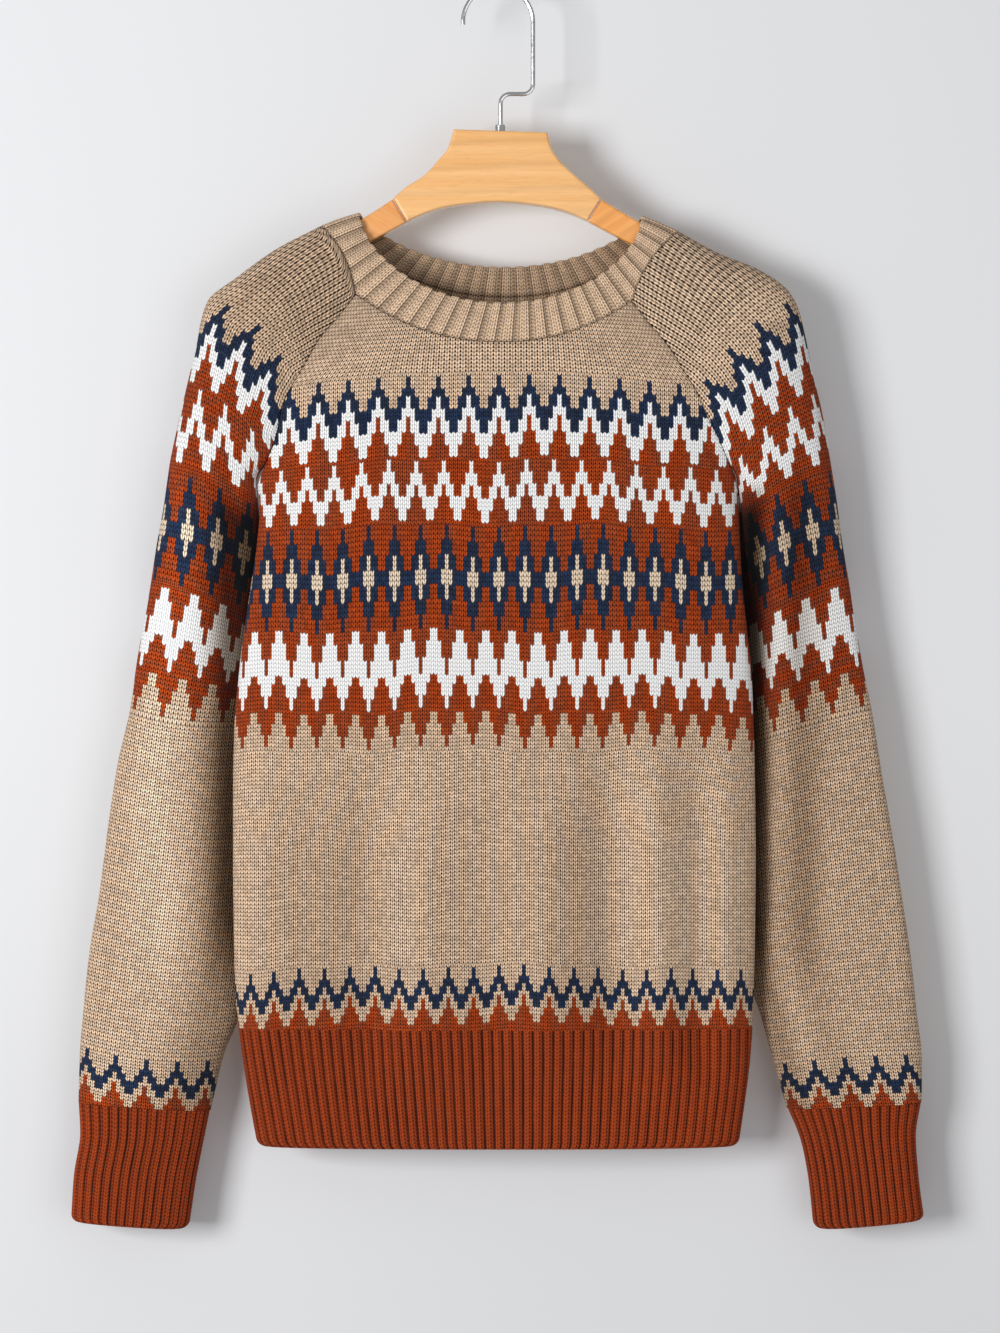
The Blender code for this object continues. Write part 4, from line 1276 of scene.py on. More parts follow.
@dataclass
class SleeveCourses:
    """Courses of one sleeve: heights at its inner edge, middle and outer edge."""

    table: Array

    def at(self, reach: Array, z: Array) -> Array:
        """Chart course at each place.

        Each course is a parabola across the sleeve through its three heights,
        and the course is the sum of the shares passed of every pair.

        Args:
            reach: places across, 0 at the inner edge and 1 at the outer one.
            z: heights.

        Returns:
            The course, a whole number at its upper edge.
        """
        inner = (1 - reach) * (1 - 2 * reach)
        middle = 4 * reach * (1 - reach)
        outer = reach * (2 * reach - 1)
        level = [a * inner + b * middle + c * outer for _, a, b, c in self.table]
        number = self.table[:, 0]
        course = np.full_like(z, number[0]) - np.maximum(z - level[0], 0) / YOKE_COURSE
        for k in range(len(number) - 1):
            share = np.clip((level[k] - z) / (level[k] - level[k + 1]), 0, 1)
            course = course + share * (number[k + 1] - number[k])
        return course + np.maximum(level[-1] - z, 0) / PLAIN_COURSE


# Sleeve courses.  Columns: course, height at the inner edge, in the middle
# and at the outer edge.  The sleeves have two more plain courses than the
# body on either side of the diamonds.
SLEEVE_CHART = Chart(after_zigzags=2, after_diamonds=2)
LEFT_COURSES = SleeveCourses(np.array([
    (-0.6, -277, -236, -217.7), (20, -325, -292.5, -275), (36, -356.5, -340.5, -331),
    (38.4, -362, -346, -337), (49, -398.5, -384, -375.6), (59, -434, -421.9, -411.3),
    (61.4, -441, -425.2, -416.2), (81, -488.5, -482.4, -473), (91, -512, -512.8, -503.3),
    (148.4, -749, -748.5, -739), (164, -788, -784, -776),
]))
RIGHT_COURSES = SleeveCourses(np.array([
    (-0.6, -283, -243, -216.5), (20, -335, -301, -280), (36, -368, -344, -332),
    (38.4, -371, -348.5, -336), (49, -405, -384, -375.5), (59, -440, -422, -409.5),
    (61.4, -448, -428.5, -415), (81, -497, -484, -474), (91, -528, -512.5, -501),
    (148.4, -753, -746.5, -745), (164, -788, -783, -783.5),
]))
# Where the middle of a motif runs down each sleeve.  Columns: z, x.
LEFT_MOTIF = np.array([
    (-198, -107), (-209, -125), (-222.5, -145), (-236.2, -163.4), (-245.1, -174.1),
    (-260.3, -181.2), (-292.4, -189.3), (-348.7, -193.3), (-386, -196), (-423, -200.5),
    (-483, -209), (-513, -213.6), (-747, -245.2), (-790, -248.5),
])
RIGHT_MOTIF = np.array([
    (-207, 95), (-222.5, 120), (-236.5, 140), (-251.8, 158.5), (-261.2, 166.5),
    (-274.1, 174.6), (-305.3, 184.9), (-353.6, 193.8), (-388, 199.9), (-426, 204.4),
    (-486, 210.7), (-515, 213.5), (-747, 242), (-790, 249.5),
])


# Course, and width of a sleeve's wale in mm there: the cap is stretched.
CAP_WALES = np.array([(-30, 4.5), (-4, 3.9), (8, 3.55), (20, 3.1), (200, 3.1)])
# Distance from the sleeve's inner edge in mm, and the share of light painted there: below 1 painted
# shade beside the body, above 1 painted light.
LEFT_TONE = np.array([(0, 0.08), (14, 0.12), (22, 0.24), (29, 0.5), (36, 0.8), (43, 1.03),
                      (50, 1.2), (58, 1.3), (66, 1.36), (76, 1.3), (86, 1.15), (98, 1.0)])
RIGHT_TONE = np.array([(0, 0.03), (10, 0.05), (14, 0.2), (18, 0.55), (22, 0.8), (26, 0.82),
                       (32, 0.72), (38, 0.6), (45, 0.6), (52, 0.72), (60, 0.9), (68, 0.95)])
TONE_STATIONS = 0.9          # stations below the armpit over which it fades in
# Below TONE_FREE, where the arm leaves the body, a share of it is left; the
# rest fades in over mm above there.
TONE_FREE, TONE_LEFT, TONE_RISE = -730, 0.4, 80
TONE_EDGE = 0.2              # share of the sleeve's width over which it fades at the outer edge
CAP_BARE, CAP_RISE = 2, 4    # stations above the armpit without the cap's painted shade, and of its rise


def sleeve_stations(outer: Array, inner: Array, first: int) -> Array:
    """A sleeve's stations: its edges beside the raglan seams' points and its depths.

    Args:
        outer: x and z of the outer edge at every station.
        inner: x and z of the inner edge at the stations below the armpit.
        first: the first of the yoke's two columns that give this sleeve's seam.

    Returns:
        A row for each station: outer edge x and z, front inner x and z, back
        inner x and z, then the columns of SLEEVE_DEPTHS.
    """
    seams = [np.concatenate([yoke[:, first:first + 2], inner]) for yoke in (FRONT_YOKE, BACK_YOKE)]
    return np.concatenate([outer, *seams, SLEEVE_DEPTHS], axis=1)


def reach_of(turn: Array) -> Array:
    """Share of the way from a sleeve's inner edge to its outer one at a turn, as a row.

    One and the cosine of half the turn round the sleeve, halved.
    """
    return ((1 + np.cos(math.pi * turn)) / 2)[None]


@dataclass
class Sleeve(ClothPiece):
    """A raglan sleeve from the neck seam to the cuff, closed under the arm."""

    stations: Array = field(default_factory=lambda: sleeve_stations(LEFT_OUTER, LEFT_INNER, 0))
    courses: SleeveCourses = field(default_factory=lambda: LEFT_COURSES)
    motif: Array = field(default_factory=lambda: LEFT_MOTIF)
    folds: tuple[Fold, ...] = ()
    back_folds: tuple[Fold, ...] = ()
    tone: Array = field(default_factory=lambda: LEFT_TONE)   # painted shade and light beside the body
    cap_shade: float = 0.19      # painted shade on the cap's front, less than none for painted light
    row_step: float = 2.7        # mm between rows
    half_columns: int = 46
    ruler: int = 800             # stations by which its length is measured

    def surface(self, at: Array, turn: Array, wall: float) -> Array:
        """The sleeve at one depth in the cloth.

        Each face is an oval between its inner seam and the outer edge, cut
        off where it has the seam's depth, leaning back with the arm.

        Args:
            at: stations down the sleeve.
            turn: -1 at the front seam, 0 at the outer edge, 1 at the back seam.
            wall: mm in from the outside.

        Returns:
            Points in mm as rows, columns and x, y, z.
        """
        values = rows_past_armpit(self.stations, self.stations[ARMPIT:], at).T[:, :, None]
        ox, oz, fx, fz, bx, bz, df, db, sf, sb, y_in, y_out, bow = values
        front = (turn <= 0)[None]
        side = np.where(turn < 0, -1.0, np.where(turn > 0, 1.0, 0.0))[None]
        ix, iz = np.where(front, fx, bx), np.where(front, fz, bz)
        depth, seam = np.where(front, df, db), np.where(front, sf, sb)
        reach = reach_of(turn)
        lean = np.sign(ox)
        length = np.hypot(ox - ix, oz - iz)
        way_x, way_z = (ox - ix) / length, (oz - iz) / length
        cut = cut_share(seam, depth)
        across = reach * (1 + cut) - cut
        half = length / (1 + cut)
        out = -half + across * (half - wall)
        lift = -lean * bow * 4 * reach * (1 - reach)
        x = ox + way_x * out + way_z * lift
        z = oz + way_z * out - way_x * lift
        back = raglan_clear(at) - read_table(TUCK, at)[:, None]
        x = x + lean * (back * (1 - reach) + SEAM_GAP * at_end(at))
        z = z + KNIT_ON * at_end(len(self.stations) - 1 - at)
        calm = np.clip(np.minimum(reach, 1 - reach) / EDGE_CALM, 0, 1)
        swell = np.where(front, folds_height(self.folds, x, z),
                         folds_height(self.back_folds, x, z)) * calm
        y = y_in + (y_out - y_in) * reach
        y = y + side * (SEAM_GAP / 2 + (depth - wall) * superoval(across) + swell)
        return np.stack([x, y, z], axis=-1)

    def shell(self) -> Shell:
        """Both sides of the sleeve with its chart, its stitches and its seams.

        Returns:
            The closed shell.
        """
        fine = np.linspace(0, len(self.stations) - 1, self.ruler)
        line = self.surface(fine, np.array([-0.5]), 0)[:, 0]
        down = run_length(line)
        at = np.interp(stops(down[-1], self.row_step, CLOSE_STOPS), down, fine)
        turn = np.linspace(-1, 1, 2 * self.half_columns + 1)
        outer, inner = self.surface(at, turn, 0), self.surface(at, turn, KNIT_WALL)
        run, mark = seams_of(outer)
        outer[..., 1] -= np.sign(turn)[None] * SEAM_ROLL * mark
        # painted shade and light on the sleeve's front
        marks = {"seam": mark, "painted_light_shade_and_seam": self.shade(at, turn, outer)}
        return Shell(outer, inner, maps=self.stitch_maps(outer, run, turn), marks=marks)

    def shade(self, at: Array, turn: Array, grid: Array) -> Array:
        """Painted shade and light on the rounded front, by its distance from the body.

        The share of light painted on is read from the tone table by the distance
        across from the inner edge. It fades in below the armpit, is weaker where the
        arm leaves the body and fades out at the outer edge. The cap has a painted
        shade of its own, which fades out above the armpit. The back has none.

        Args:
            at: stations down the sleeve.
            turn: places round it.
            grid: the outer points.

        Returns:
            One less the share of painted light.
        """
        light = read_table(self.tone, np.abs(grid[..., 0] - grid[:, :1, 0]))
        below = smooth_step((at[:, None] - ARMPIT) / TONE_STATIONS)
        beside = smooth_step((grid[..., 2] - TONE_FREE) / TONE_RISE)
        below = below * (TONE_LEFT + (1 - TONE_LEFT) * beside)
        cap = self.cap_shade * smooth_step((ARMPIT - CAP_BARE - at[:, None]) / CAP_RISE)
        front = np.where(turn < 0, smooth_step((1 - reach_of(turn)) / TONE_EDGE), 0)
        return ((1 - light) * below + cap) * front

    def stitch_maps(self, grid: Array, run: Array, turn: Array) -> dict[str, Array]:
        """The chart map and the stitch map of the sleeve.

        The place across is the length round the sleeve from the line on which
        the middle of a motif runs, over the width of a wale.

        Args:
            grid: the outer points.
            run: length along each row from the front seam.
            turn: places round the sleeve.

        Returns:
            The two UV maps.
        """
        x, z = grid[..., 0], grid[..., 2]
        face, sign = turn <= 0, np.sign(x.mean())
        off = (x[:, face] - read_table(self.motif, z[:, face])) * sign
        origin = np.array([np.interp(0, o, r) for o, r in zip(off, run[:, face])])
        course = self.courses.at(reach_of(turn), z)
        wale = (run - origin[:, None]) * sign / read_table(CAP_WALES, course)
        lines = plain_lines(course, self.courses.table[:, [0, 2]], SLEEVE_CHART.plain_zone())
        return {"chart": np.stack([wale, course], axis=-1),
                "stitch": np.stack([wale + 0.5, lines], axis=-1)}


# ------------------------------------------------------------------ ribbing
INSIDE_RELIEF = 0.6          # share of a rib's relief that shows inside the cloth
GROOVE_WIDE = 0.075          # half width of a flat furrow's line of painted shade, as a share of a rib
GROOVE_POWER = 0.7           # how sharply that painted shade darkens towards its middle
RIM_LEFT = 0.02              # square of the wall's share left at the end of a rim


@dataclass(frozen=True)
class RibForm:
    """Cross-section of a rib: a rounded ridge and a narrow furrow.

    Attributes:
        ridge: mm the ridge stands out.
        furrow: mm the furrow sinks.
        share: share of the rib's width that the furrow takes.
        flat: share of the furrow that is flat at the bottom.
    """

    ridge: float
    furrow: float
    share: float
    flat: float = 0.0

    def depth(self, phase: Array) -> Array:
        """How deep in the furrow a place is, 0 on the ridge and 1 at the bottom.

        The furrow is a raised cosine with a flat bottom, centred at the end
        of the rib.

        Args:
            phase: place across the ribs, a whole number at each furrow.

        Returns:
            The share of the furrow's depth.
        """
        off = np.abs(phase - np.round(phase)) / (self.share / 2)
        side = np.clip((off - self.flat) / (1 - self.flat), 0, 1)
        return (1 + np.cos(math.pi * side)) / 2

    def groove(self, phase: Array) -> Array:
        """1 in a furrow's narrow line of painted shade: all of a narrow one, one side of a flat one."""
        centre = -self.share / 2 * (1 + self.flat) / 2 if self.flat else 0.0
        off = phase - centre
        off = np.abs(off - np.round(off)) / (GROOVE_WIDE if self.flat else self.share / 2)
        return np.clip(1 - off, 0, 1) ** GROOVE_POWER

    def height(self, phase: Array) -> Array:
        """Height over the cloth's own face: the ridge less the furrow."""
        return self.ridge - (self.ridge + self.furrow) * self.depth(phase)


@dataclass
class RibTube(ClothPiece):
    """A ribbed tube: the hem rib or a cuff."""

    ring: Callable[[Array, Array, float], Array] = None
    last: float = 3.0            # station of its lower edge
    ribs: int = 105
    columns: int = 10            # points across a rib
    row_step: float = 5.0        # mm between rows
    course: float = 2.6          # mm between courses
    ruler: int = 80              # stations by which its height is measured
    girth_ruler: int = 1601      # and places by which its girth is
    form: RibForm = RibForm(0.3, 1.1, 0.36)

    def levels(self, tall: float) -> Array:
        """Mm down a tube this tall at which its rows lie, close ones in the corner and rim."""
        body = np.arange(0, tall - CORNER - 1, self.row_step)
        return np.concatenate([body, tall - CORNER * CORNER_ROWS, tall - RIM_ROWS[-1] + RIM_ROWS])

    def loops(self, at: Array, wall: float) -> Array:
        """Rings at stations, with their points spaced evenly along the girth.

        Args:
            at: stations down the tube.
            wall: mm in from the outside.

        Returns:
            Points in mm as rows, points of the ribs and x, y, z.
        """
        count = self.ribs * self.columns
        share = np.arange(count) / count
        rings = self.ring(at, np.linspace(0, 1, self.girth_ruler), wall)
        return np.array([resample(line, run, share * run[-1])
                         for line, run in zip(rings, run_length(rings))])

    def shell(self) -> Shell:
        """Both sides of the tube, its ribs spaced evenly along its girth.

        The lower corners are pulled in by a quarter circle, the relief stands
        out along the wall's own direction, and the wall narrows to a round rim.

        Returns:
            The closed shell.
        """
        fine = np.linspace(0, self.last, self.ruler)
        drop = run_length(self.ring(fine, np.zeros(1), 0)[:, 0])
        down = self.levels(drop[-1])
        at = np.interp(down, drop, fine)
        outer, inner = self.loops(at, 0.0), self.loops(at, RIB_WALL)
        low = np.clip((down - drop[-1]) / CORNER + 1, 0, 1)
        inset = CORNER * (1 - np.sqrt(1 - low ** 2))[:, None]
        middle = (outer[..., 0].max(axis=1) + outer[..., 0].min(axis=1))[:, None] / 2
        narrow = 1 - inset / (np.ptp(outer[..., 0], axis=1)[:, None] / 2)
        for grid in (outer, inner):
            grid[..., 0] = middle + (grid[..., 0] - middle) * narrow
        phase = np.arange(self.ribs * self.columns) / self.columns
        out = outer - inner
        out /= np.linalg.norm(out, axis=-1, keepdims=True)
        relief = out * self.form.height(phase)[None, :, None]
        outer, inner = outer + relief, inner + relief * INSIDE_RELIEF
        near = np.clip((drop[-1] - down) / RIM_ROWS[-1], 0, 1)[:, None, None]
        full = np.sqrt(np.clip(1 - (1 - near) ** 2, RIM_LEFT, 1))
        centre, half = (outer + inner) / 2, (outer - inner) / 2
        outer, inner = centre + half * full, centre - half * full
        # painted shade in the furrows
        marks = {"furrow": np.broadcast_to(self.form.groove(phase), outer.shape[:2])}
        maps = {"rib": rib_map(self.ribs, self.columns, down[:, None] / self.course)}
        return Shell(outer, inner, ring=True, maps=maps, marks=marks)


def rib_map(ribs: int, columns: int, courses: Array) -> Array:
    """The UV map of a ribbed ring: ribs across, and one course number for each row."""
    across = np.arange(ribs * columns + 1)[None] / columns
    return np.stack(np.broadcast_arrays(across, courses), axis=-1)


def round_span(turn: Array) -> Array:
    """Place across a ring at a turn, -1 to 1 over the front and back again, as a row."""
    return -np.cos(turn * 2 * math.pi)[None]


def hem_ring(at: Array, turn: Array, wall: float) -> Array:
    """Rings round the hem rib, from the left side over the front to the back.

    Args:
        at: stations down the rib.
        turn: places round it from 0 to 1.
        wall: mm in from the outside.

    Returns:
        Points in mm as rows, places and x, y, z.
    """
    z, left, right, front, back = smooth_rows(HEM_ROWS, at).T[:, :, None]
    z = z - KNIT_ON * at_end(at)
    span = round_span(turn)
    x = (left + right) / 2 + span * ((right - left) / 2 - wall)
    calm = np.clip((1 - np.abs(span)) / EDGE_CALM, 0, 1)
    near, far = ((depth - wall) * superoval(span) + folds_height(folds, x, z) * calm
                 for depth, folds in ((front, FRONT_FOLDS), (back, BACK_FOLDS)))
    y = np.where((turn <= 0.5)[None], -near, far)
    return np.stack([x, y, np.broadcast_to(z, x.shape)], axis=-1)


def cuff_ring(rows: Array, at: Array, turn: Array, wall: float) -> Array:
    """Rings round a cuff, from its inner edge over the front to the back.

    Args:
        rows: the cuff's table.
        at: stations down the cuff.
        turn: places round it from 0 to 1.
        wall: mm in from the outside.

    Returns:
        Points in mm as rows, places and x, y, z.
    """
    ox, oz, ix, iz, depth, y_in, y_out = smooth_rows(rows, at).T[:, :, None]
    span = round_span(turn)
    side = np.where(turn <= 0.5, -1.0, 1.0)[None]
    half = np.hypot(ox - ix, oz - iz) / 2
    way_x, way_z = (ox - ix) / half / 2, (oz - iz) / half / 2
    x = (ox + ix) / 2 + way_x * span * (half - wall)
    z = (oz + iz) / 2 + way_z * span * (half - wall)
    y = y_in + (y_out - y_in) * (span + 1) / 2 + side * (depth - wall) * superoval(span)
    return np.stack([x, y, z], axis=-1)


# The quarters of the neck: -1 for the front and 1 for the back, 1 for the
# right and -1 for the left.
QUARTERS = ((-1, 1), (-1, -1), (1, 1), (1, -1))
# Round the neck from the middle of the front: each quarter's place in
# QUARTERS, and whether it runs forwards from its shoulder (1) or back to it.
ROUND_ORDER = ((1, 1), (0, -1), (2, 1), (3, -1))


@dataclass
class NeckRib(ClothPiece):
    """The two-by-two neck rib, folded over at the top and linked on below."""

    pieces: tuple[BodyPanel, BodyPanel, Sleeve, Sleeve] = None
    half_x: float = 98.5         # half the width of the top edge
    top: float = -157.4          # height of the top edge at the shoulders
    tilt: float = 1.2            # mm the left shoulder's top edge lies higher than the middle
    # How the top edge comes to the middle of the front and of the back: mm it
    # falls, its depth there, and the power of the sine by which it falls.
    to_front: tuple[float, float, float] = (63.5, 19.0, 1.15)
    to_back: tuple[float, float, float] = (35.5, 16.0, 1.5)
    widen: float = 1.2           # power of the sine by which its depth grows
    saddle: float = 9.2          # depth of the top edge beside the hanger arms
    roll: float = 6.0            # mm of its fall over which it comes to that depth
    middle: float = 2.0          # x of the middle of the top edge
    swell: float = 0.5           # mm the band is crowned halfway up
    seam_gap: float = 0.5        # mm between the band and the seam it is linked to
    crown_gap: float = 0.05      # mm between both sides on the crown of the top edge
    ribs: int = 52
    columns: int = 14            # points across a rib
    levels: int = 13             # rows up the band, and then over a quarter of its top
    arc_levels: int = 6
    course: float = 2.5          # mm between courses
    form: RibForm = RibForm(0.2, 0.75, 0.56, 0.5)

    def seam(self, wall: float) -> list[Array]:
        """The four quarters of the neck seam, each from a shoulder to a middle.

        Args:
            wall: mm in from the outside.

        Returns:
            A line of points for each of QUARTERS.
        """
        front, back, left, right = self.pieces
        start, span = np.zeros(1), np.linspace(1, 0, 90)
        quarters = []
        for face, way in QUARTERS:
            panel, sleeve = front if face < 0 else back, right if way > 0 else left
            over = sleeve.surface(start, np.linspace(0, 1, 70)[:-1] * face, wall)[0]
            along = panel.surface(start, span * way, wall)[0]
            quarters.append(np.concatenate([over, along]))
        return quarters

    def top_edge(self, side: int, across: int, shares: Array) -> Array:
        """A quarter of the top edge at shares of its length from the shoulder.

        The edge drops as a power of the sine of its turn, and lies over the
        hanger arm with a flat saddle before it widens to its full depth.

        Args:
            side: -1 for the front, 1 for the back.
            across: 1 for the right, -1 for the left.
            shares: shares of the length.

        Returns:
            Points in mm.
        """
        turn = np.linspace(0, 1, 400) ** 1.6 * math.pi / 2
        sine = np.sin(turn)
        fall, far, power = self.to_front if side < 0 else self.to_back
        drop = fall * sine ** power
        saddle = self.saddle * np.clip(drop / self.roll, 0, 1) ** 0.5
        y = side * (saddle + (far - self.saddle) * sine ** self.widen)
        level = self.top - across * self.tilt * np.cos(turn) - drop
        line = np.stack([self.middle + across * self.half_x * np.cos(turn), y, level], axis=1)
        run = run_length(line)
        return resample(line, run, shares * run[-1])

    def edges(self) -> list[Array]:
        """The seam, the seam's inside and the top edge, all the way round the neck.

        Returns:
            Three closed lines of points, matched and evenly spaced by the seam.
        """
        seam, inside = self.seam(0), self.seam(COLLAR_WALL)
        top = []
        for quarter, line in zip(QUARTERS, seam):
            run = run_length(line)
            top.append(self.top_edge(*quarter, run / run[-1]))
        lines = [np.concatenate([parts[k][::way][:-1] for k, way in ROUND_ORDER])
                 for parts in (seam, inside, top)]
        loops = [np.concatenate([line, line[:1]]) for line in lines]
        run = run_length(loops[0])
        count = self.ribs * self.columns
        return [resample(loop, run, np.arange(count) / count * run[-1]) for loop in loops]

    def shell(self) -> Shell:
        """The band's section carried round the neck as one closed tube.

        Returns:
            The closed shell: the outer grid runs up the outside to the middle
            of the rounded top edge, the inner one up the inside.
        """
        seam, inside, top = self.edges()
        rise = top - seam
        height = np.linalg.norm(rise, axis=1, keepdims=True)
        up = rise / height
        round_way = np.roll(seam + top, -1, axis=0) - np.roll(seam + top, 1, axis=0)
        normal = np.cross(round_way, up)
        normal /= np.linalg.norm(normal, axis=1, keepdims=True)
        normal = smooth_loop(normal, self.columns)
        foot = seam + up * self.seam_gap
        half = COLLAR_WALL / 2
        shares = np.linspace(0, 1, self.levels)
        arc = np.linspace(0, math.pi / 2, self.arc_levels)[1:]
        phase = np.arange(len(seam)) / self.columns
        relief = self.form.height(phase)[:, None]
        straight = height - self.seam_gap - half
        reach = straight * shares[:, None, None]
        crown = self.swell * np.sin(math.pi * shares)[:, None, None] * normal
        core = foot + up * straight - normal * half
        sideways, upwards = (turned(arc)[:, None, None] for turned in (np.cos, np.sin))
        over = core + (sideways * normal + upwards * up) * (half + relief)
        outer = np.concatenate([foot + up * reach + crown + normal * relief, over])
        under = foot + up * reach + crown - normal * (COLLAR_WALL + INSIDE_RELIEF * relief)
        lower = inside + up * self.seam_gap + up * reach
        blend = (1 - shares)[:, None, None] ** 4
        back = core + (upwards * up - sideways * normal) * (half + INSIDE_RELIEF * relief)
        inner = np.concatenate([under * (1 - blend) + lower * blend, back])
        inner[-1] = outer[-1] - up * self.crown_gap
        down = np.concatenate([shares * (height.mean() - half), height.mean() + arc])[:, None]
        mark = np.broadcast_to(seam_mark(down), outer.shape[:2])
        line = np.broadcast_to(seam_mark(down - height.mean() + NECK_LINE), mark.shape)
        # painted shade in the furrows and inside the band, where its seam line is darker too
        marks = {"furrow": np.broadcast_to(self.form.groove(phase), mark.shape),
                 "seam": np.stack([mark, line]),
                 "painted_light_shade_and_seam": np.stack([np.zeros(mark.shape), NECK_INSIDE + NECK_LINE_SHADE * line])}
        maps = {"rib": rib_map(self.ribs, self.columns, -down / self.course)}
        return Shell(outer, inner, ring=True, maps=maps, marks=marks)


def smooth_loop(values: Array, width: int) -> Array:
    """A closed run of directions averaged over a width and made unit again."""
    kernel = np.hanning(2 * width + 3)[1:-1]
    padded = np.concatenate([values[-width:], values, values[:width]])
    soft = np.stack([np.convolve(padded[:, k], kernel, "valid") for k in range(3)], axis=1)
    return soft / np.linalg.norm(soft, axis=1, keepdims=True)


# -------------------------------------------------------------------- hanger
@dataclass
class Hanger:
    """The flat wooden hanger and its wire hook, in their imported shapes."""

    lean: float = 0.55           # radians the arms' grain falls towards their ends

    def dress(self) -> None:
        """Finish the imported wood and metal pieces."""
        wire = PlatedWire("bright_nickel_wire")
        finishes = {
            "hanger_block": VarnishedWood("varnished_lotus_wood_block", "#F6C183", "#E9AC66"),
            "hanger_arm_left": VarnishedWood("varnished_lotus_wood_left_arm", "#F4B06C", "#E0934A",
                                             lean=-self.lean),
            "hanger_arm_right": VarnishedWood("varnished_lotus_wood_right_arm", "#F8B167",
                                              "#E69646", lean=self.lean),
            "hook_wire": wire,
            "hook_ferrule": wire,
        }
        made = {finish.name: finish.make() for finish in finishes.values()}
        for name, finish in finishes.items():
            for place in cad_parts[name].material_slots:
                place.material = made[finish.name]
            log.info("%s: %s", name, finish.name)


# -------------------------------------------------------------------- studio
@dataclass(frozen=True)
class Lamp:
    """A square soft light: its name, where it stands, its side in metres and its watts."""

    name: str
    place: tuple[float, float, float]
    size: float
    watts: float


@dataclass
class Studio:
    """A pale wall and floor, large soft lights and the camera, in metres.

    Only the wall's front shows, and it throws no shade or bounce, so the back
    of the sweater is seen and lit in the other views.
    """

    wall_y: float = 0.040
    floor_z: float = -1.25
    wall_wide: float = 3.2
    wall_tall: float = 2.4
    floor_deep: float = 2.4
    fade: tuple[float, float] = (-0.5, -1.0)   # heights between which painted shade darkens the wall
    camera_far: float = 2.8
    camera_at: tuple[float, float] = (0.0014, -0.47425)
    lens: float = 108.0
    aim: tuple[float, float, float] = (0.0, 0.0, -0.47)
    air: float = 0.46            # strength of the even light from all round
    lamps: tuple[Lamp, ...] = (Lamp("key_light", (-1.95, -2.4, -0.4), 1.1, 73.0),
                               Lamp("fill_light", (1.3, -2.7, -0.9), 1.8, 12.0),
                               Lamp("back_light", (0.6, 2.6, 0.3), 1.8, 17.0))

    def wall_finish(self) -> bpy.types.Material:
        """Matt painted plaster: an even pale grey, darkened down the wall by painted shade."""
        made, add, shader = new_material("matt_pale_plaster", Roughness=0.95, Specular_IOR_Level=0.1)
        place = add("SeparateXYZ", add("TexCoord").outputs["Object"])
        # painted shade, darker towards the floor
        fade = add("MapRange", place.outputs[2], *self.fade, 1.0, 0.9)
        toned = add("VectorMath", linear("#DFE0E2")[:3], operation="SCALE", Scale=fade)
        behind = add("NewGeometry").outputs["Backfacing"]
        seen = add("MixShader", behind, shader, add("BsdfTransparent"))
        feed(shader, Base_Color=toned)
        feed(next(n for n in made.node_tree.nodes if n.type == "OUTPUT_MATERIAL"), Surface=seen)
        return made

    def build(self) -> None:
        """Make the wall, floor, lights, world and camera."""
        finish = self.wall_finish()
        wide, low, y = self.wall_wide / 2, self.floor_z, self.wall_y
        top, near = low + self.wall_tall, y - self.floor_deep
        wall = [(-wide, y, low), (wide, y, low), (wide, y, top), (-wide, y, top)]
        floor = [(-wide, near, low), (wide, near, low), (wide, y, low), (-wide, y, low)]
        for name, points in (("wall", wall), ("floor", floor)):
            thing = mesh_object(name, np.array(points), np.array([[0, 1, 2, 3]]))
            thing.data.materials.append(finish)
            for rays in ("shadow", "diffuse", "glossy", "transmission"):
                setattr(thing, "visible_" + rays, False)
        for lamp in self.lamps:
            self.light(lamp)
        world = bpy.data.worlds.new("pale_room")
        bpy.context.scene.world = world
        world.use_nodes = True
        air = world.node_tree.nodes["Background"]
        air.inputs["Color"].default_value = linear("#F1F1F2")
        air.inputs["Strength"].default_value = self.air
        bpy.context.scene.view_settings.view_transform = "Standard"
        self.camera()

    def light(self, wanted: Lamp) -> None:
        """Set up one light, aimed at the middle of the sweater.

        Args:
            wanted: the light.
        """
        lamp = bpy.data.lights.new(wanted.name, "AREA")
        lamp.size = wanted.size
        lamp.energy = wanted.watts
        thing = bpy.data.objects.new(wanted.name, lamp)
        thing.location = wanted.place
        aim = Vector(self.aim) - Vector(wanted.place)
        thing.rotation_euler = aim.to_track_quat("-Z", "Y").to_euler()
        bpy.context.scene.collection.objects.link(thing)

    def camera(self) -> None:
        """A long lens straight in front."""
        lens = bpy.data.cameras.new("camera")
        lens.lens = self.lens
        thing = bpy.data.objects.new("camera", lens)
        thing.location = (self.camera_at[0], -self.camera_far, self.camera_at[1])
        thing.rotation_euler = (math.pi / 2, 0, 0)
        bpy.context.scene.collection.objects.link(thing)
        bpy.context.scene.camera = thing


# ----------------------------------------------------------------------- main
HANGER_ARMS = ("hanger_arm_left", "hanger_arm_right")


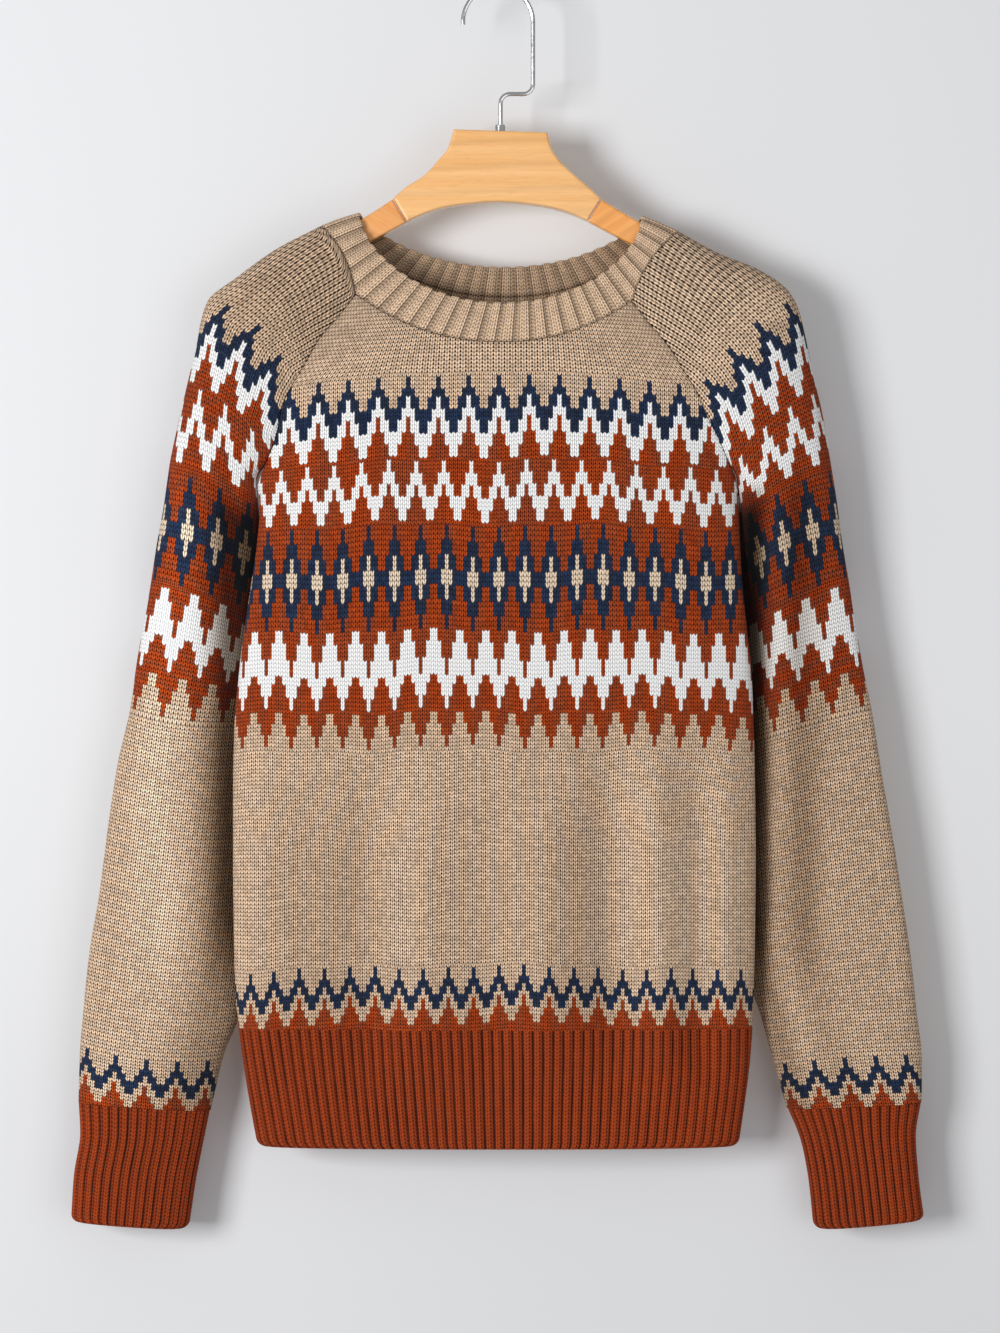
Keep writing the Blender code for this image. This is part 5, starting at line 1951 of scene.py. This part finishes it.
def main() -> None:
    """Build and dress every piece in order."""
    logging.basicConfig(level=logging.INFO, format="%(message)s")
    body = StockingStitch("stocking_stitch_body_chart", Chart(), BODY_WALES, stretch=0.4).make()
    arms = StockingStitch("stocking_stitch_sleeve_chart", SLEEVE_CHART, SLEEVE_WALES,
                          stretch=0.5, yoke_open=0.9).make()
    rust = RibStitch("one_by_one_rust_rib", "#903712", furrow_shade=0.15, uneven=0.6,
                     painted_side_light=0.22).make()
    tan = RibStitch("two_by_two_tan_rib", "#D6B799", wales=2, furrow_shade=0.22, gap_shade=0.45,
                    heather=0.5, lines=5, uneven=0.25).make()

    front = BodyPanel("front_panel", "mixed_knit", (420, 560), 185000, body)
    back = BodyPanel("back_panel", "mixed_knit", (420, 560), 185000, body, side=1, yoke=BACK_YOKE,
                     folds=BACK_FOLDS)
    left = Sleeve("sleeve_left", "mixed_knit", (240, 660), 130000, arms, folds=LEFT_FOLDS,
                  back_folds=LEFT_BACK_FOLDS)
    right = Sleeve("sleeve_right", "mixed_knit", (240, 660), 130000, arms,
                   stations=sleeve_stations(RIGHT_OUTER, RIGHT_INNER, 2),
                   courses=RIGHT_COURSES, motif=RIGHT_MOTIF, folds=RIGHT_FOLDS,
                   back_folds=RIGHT_BACK_FOLDS, tone=RIGHT_TONE, cap_shade=-0.04)
    for piece in (front, back, left, right):
        piece.dress(piece.shell(), HANGER_ARMS)

    neck = NeckRib("collar_rib", "tan_rib", (540, 30), 15500, tan, pieces=(front, back, left, right))
    neck.dress(neck.shell(), HANGER_ARMS)
    hem = RibTube("hem_rib", "rust_rib", (740, 84), 60000, rust, ring=hem_ring)
    hem.dress(hem.shell(), ("front_panel_knit", "back_panel_knit"))
    for name, rows, sleeve in (("cuff_left", LEFT_CUFF, "sleeve_left_knit"),
                               ("cuff_right", RIGHT_CUFF, "sleeve_right_knit")):
        cuff = RibTube(name, "rust_rib", (200, 84), 15500, rust, ring=partial(cuff_ring, rows),
                       ribs=30, row_step=4.0)
        cuff.dress(cuff.shell(), (sleeve,))
    Hanger().dress()
    Studio().build()


if __name__ == "__main__":
    main()
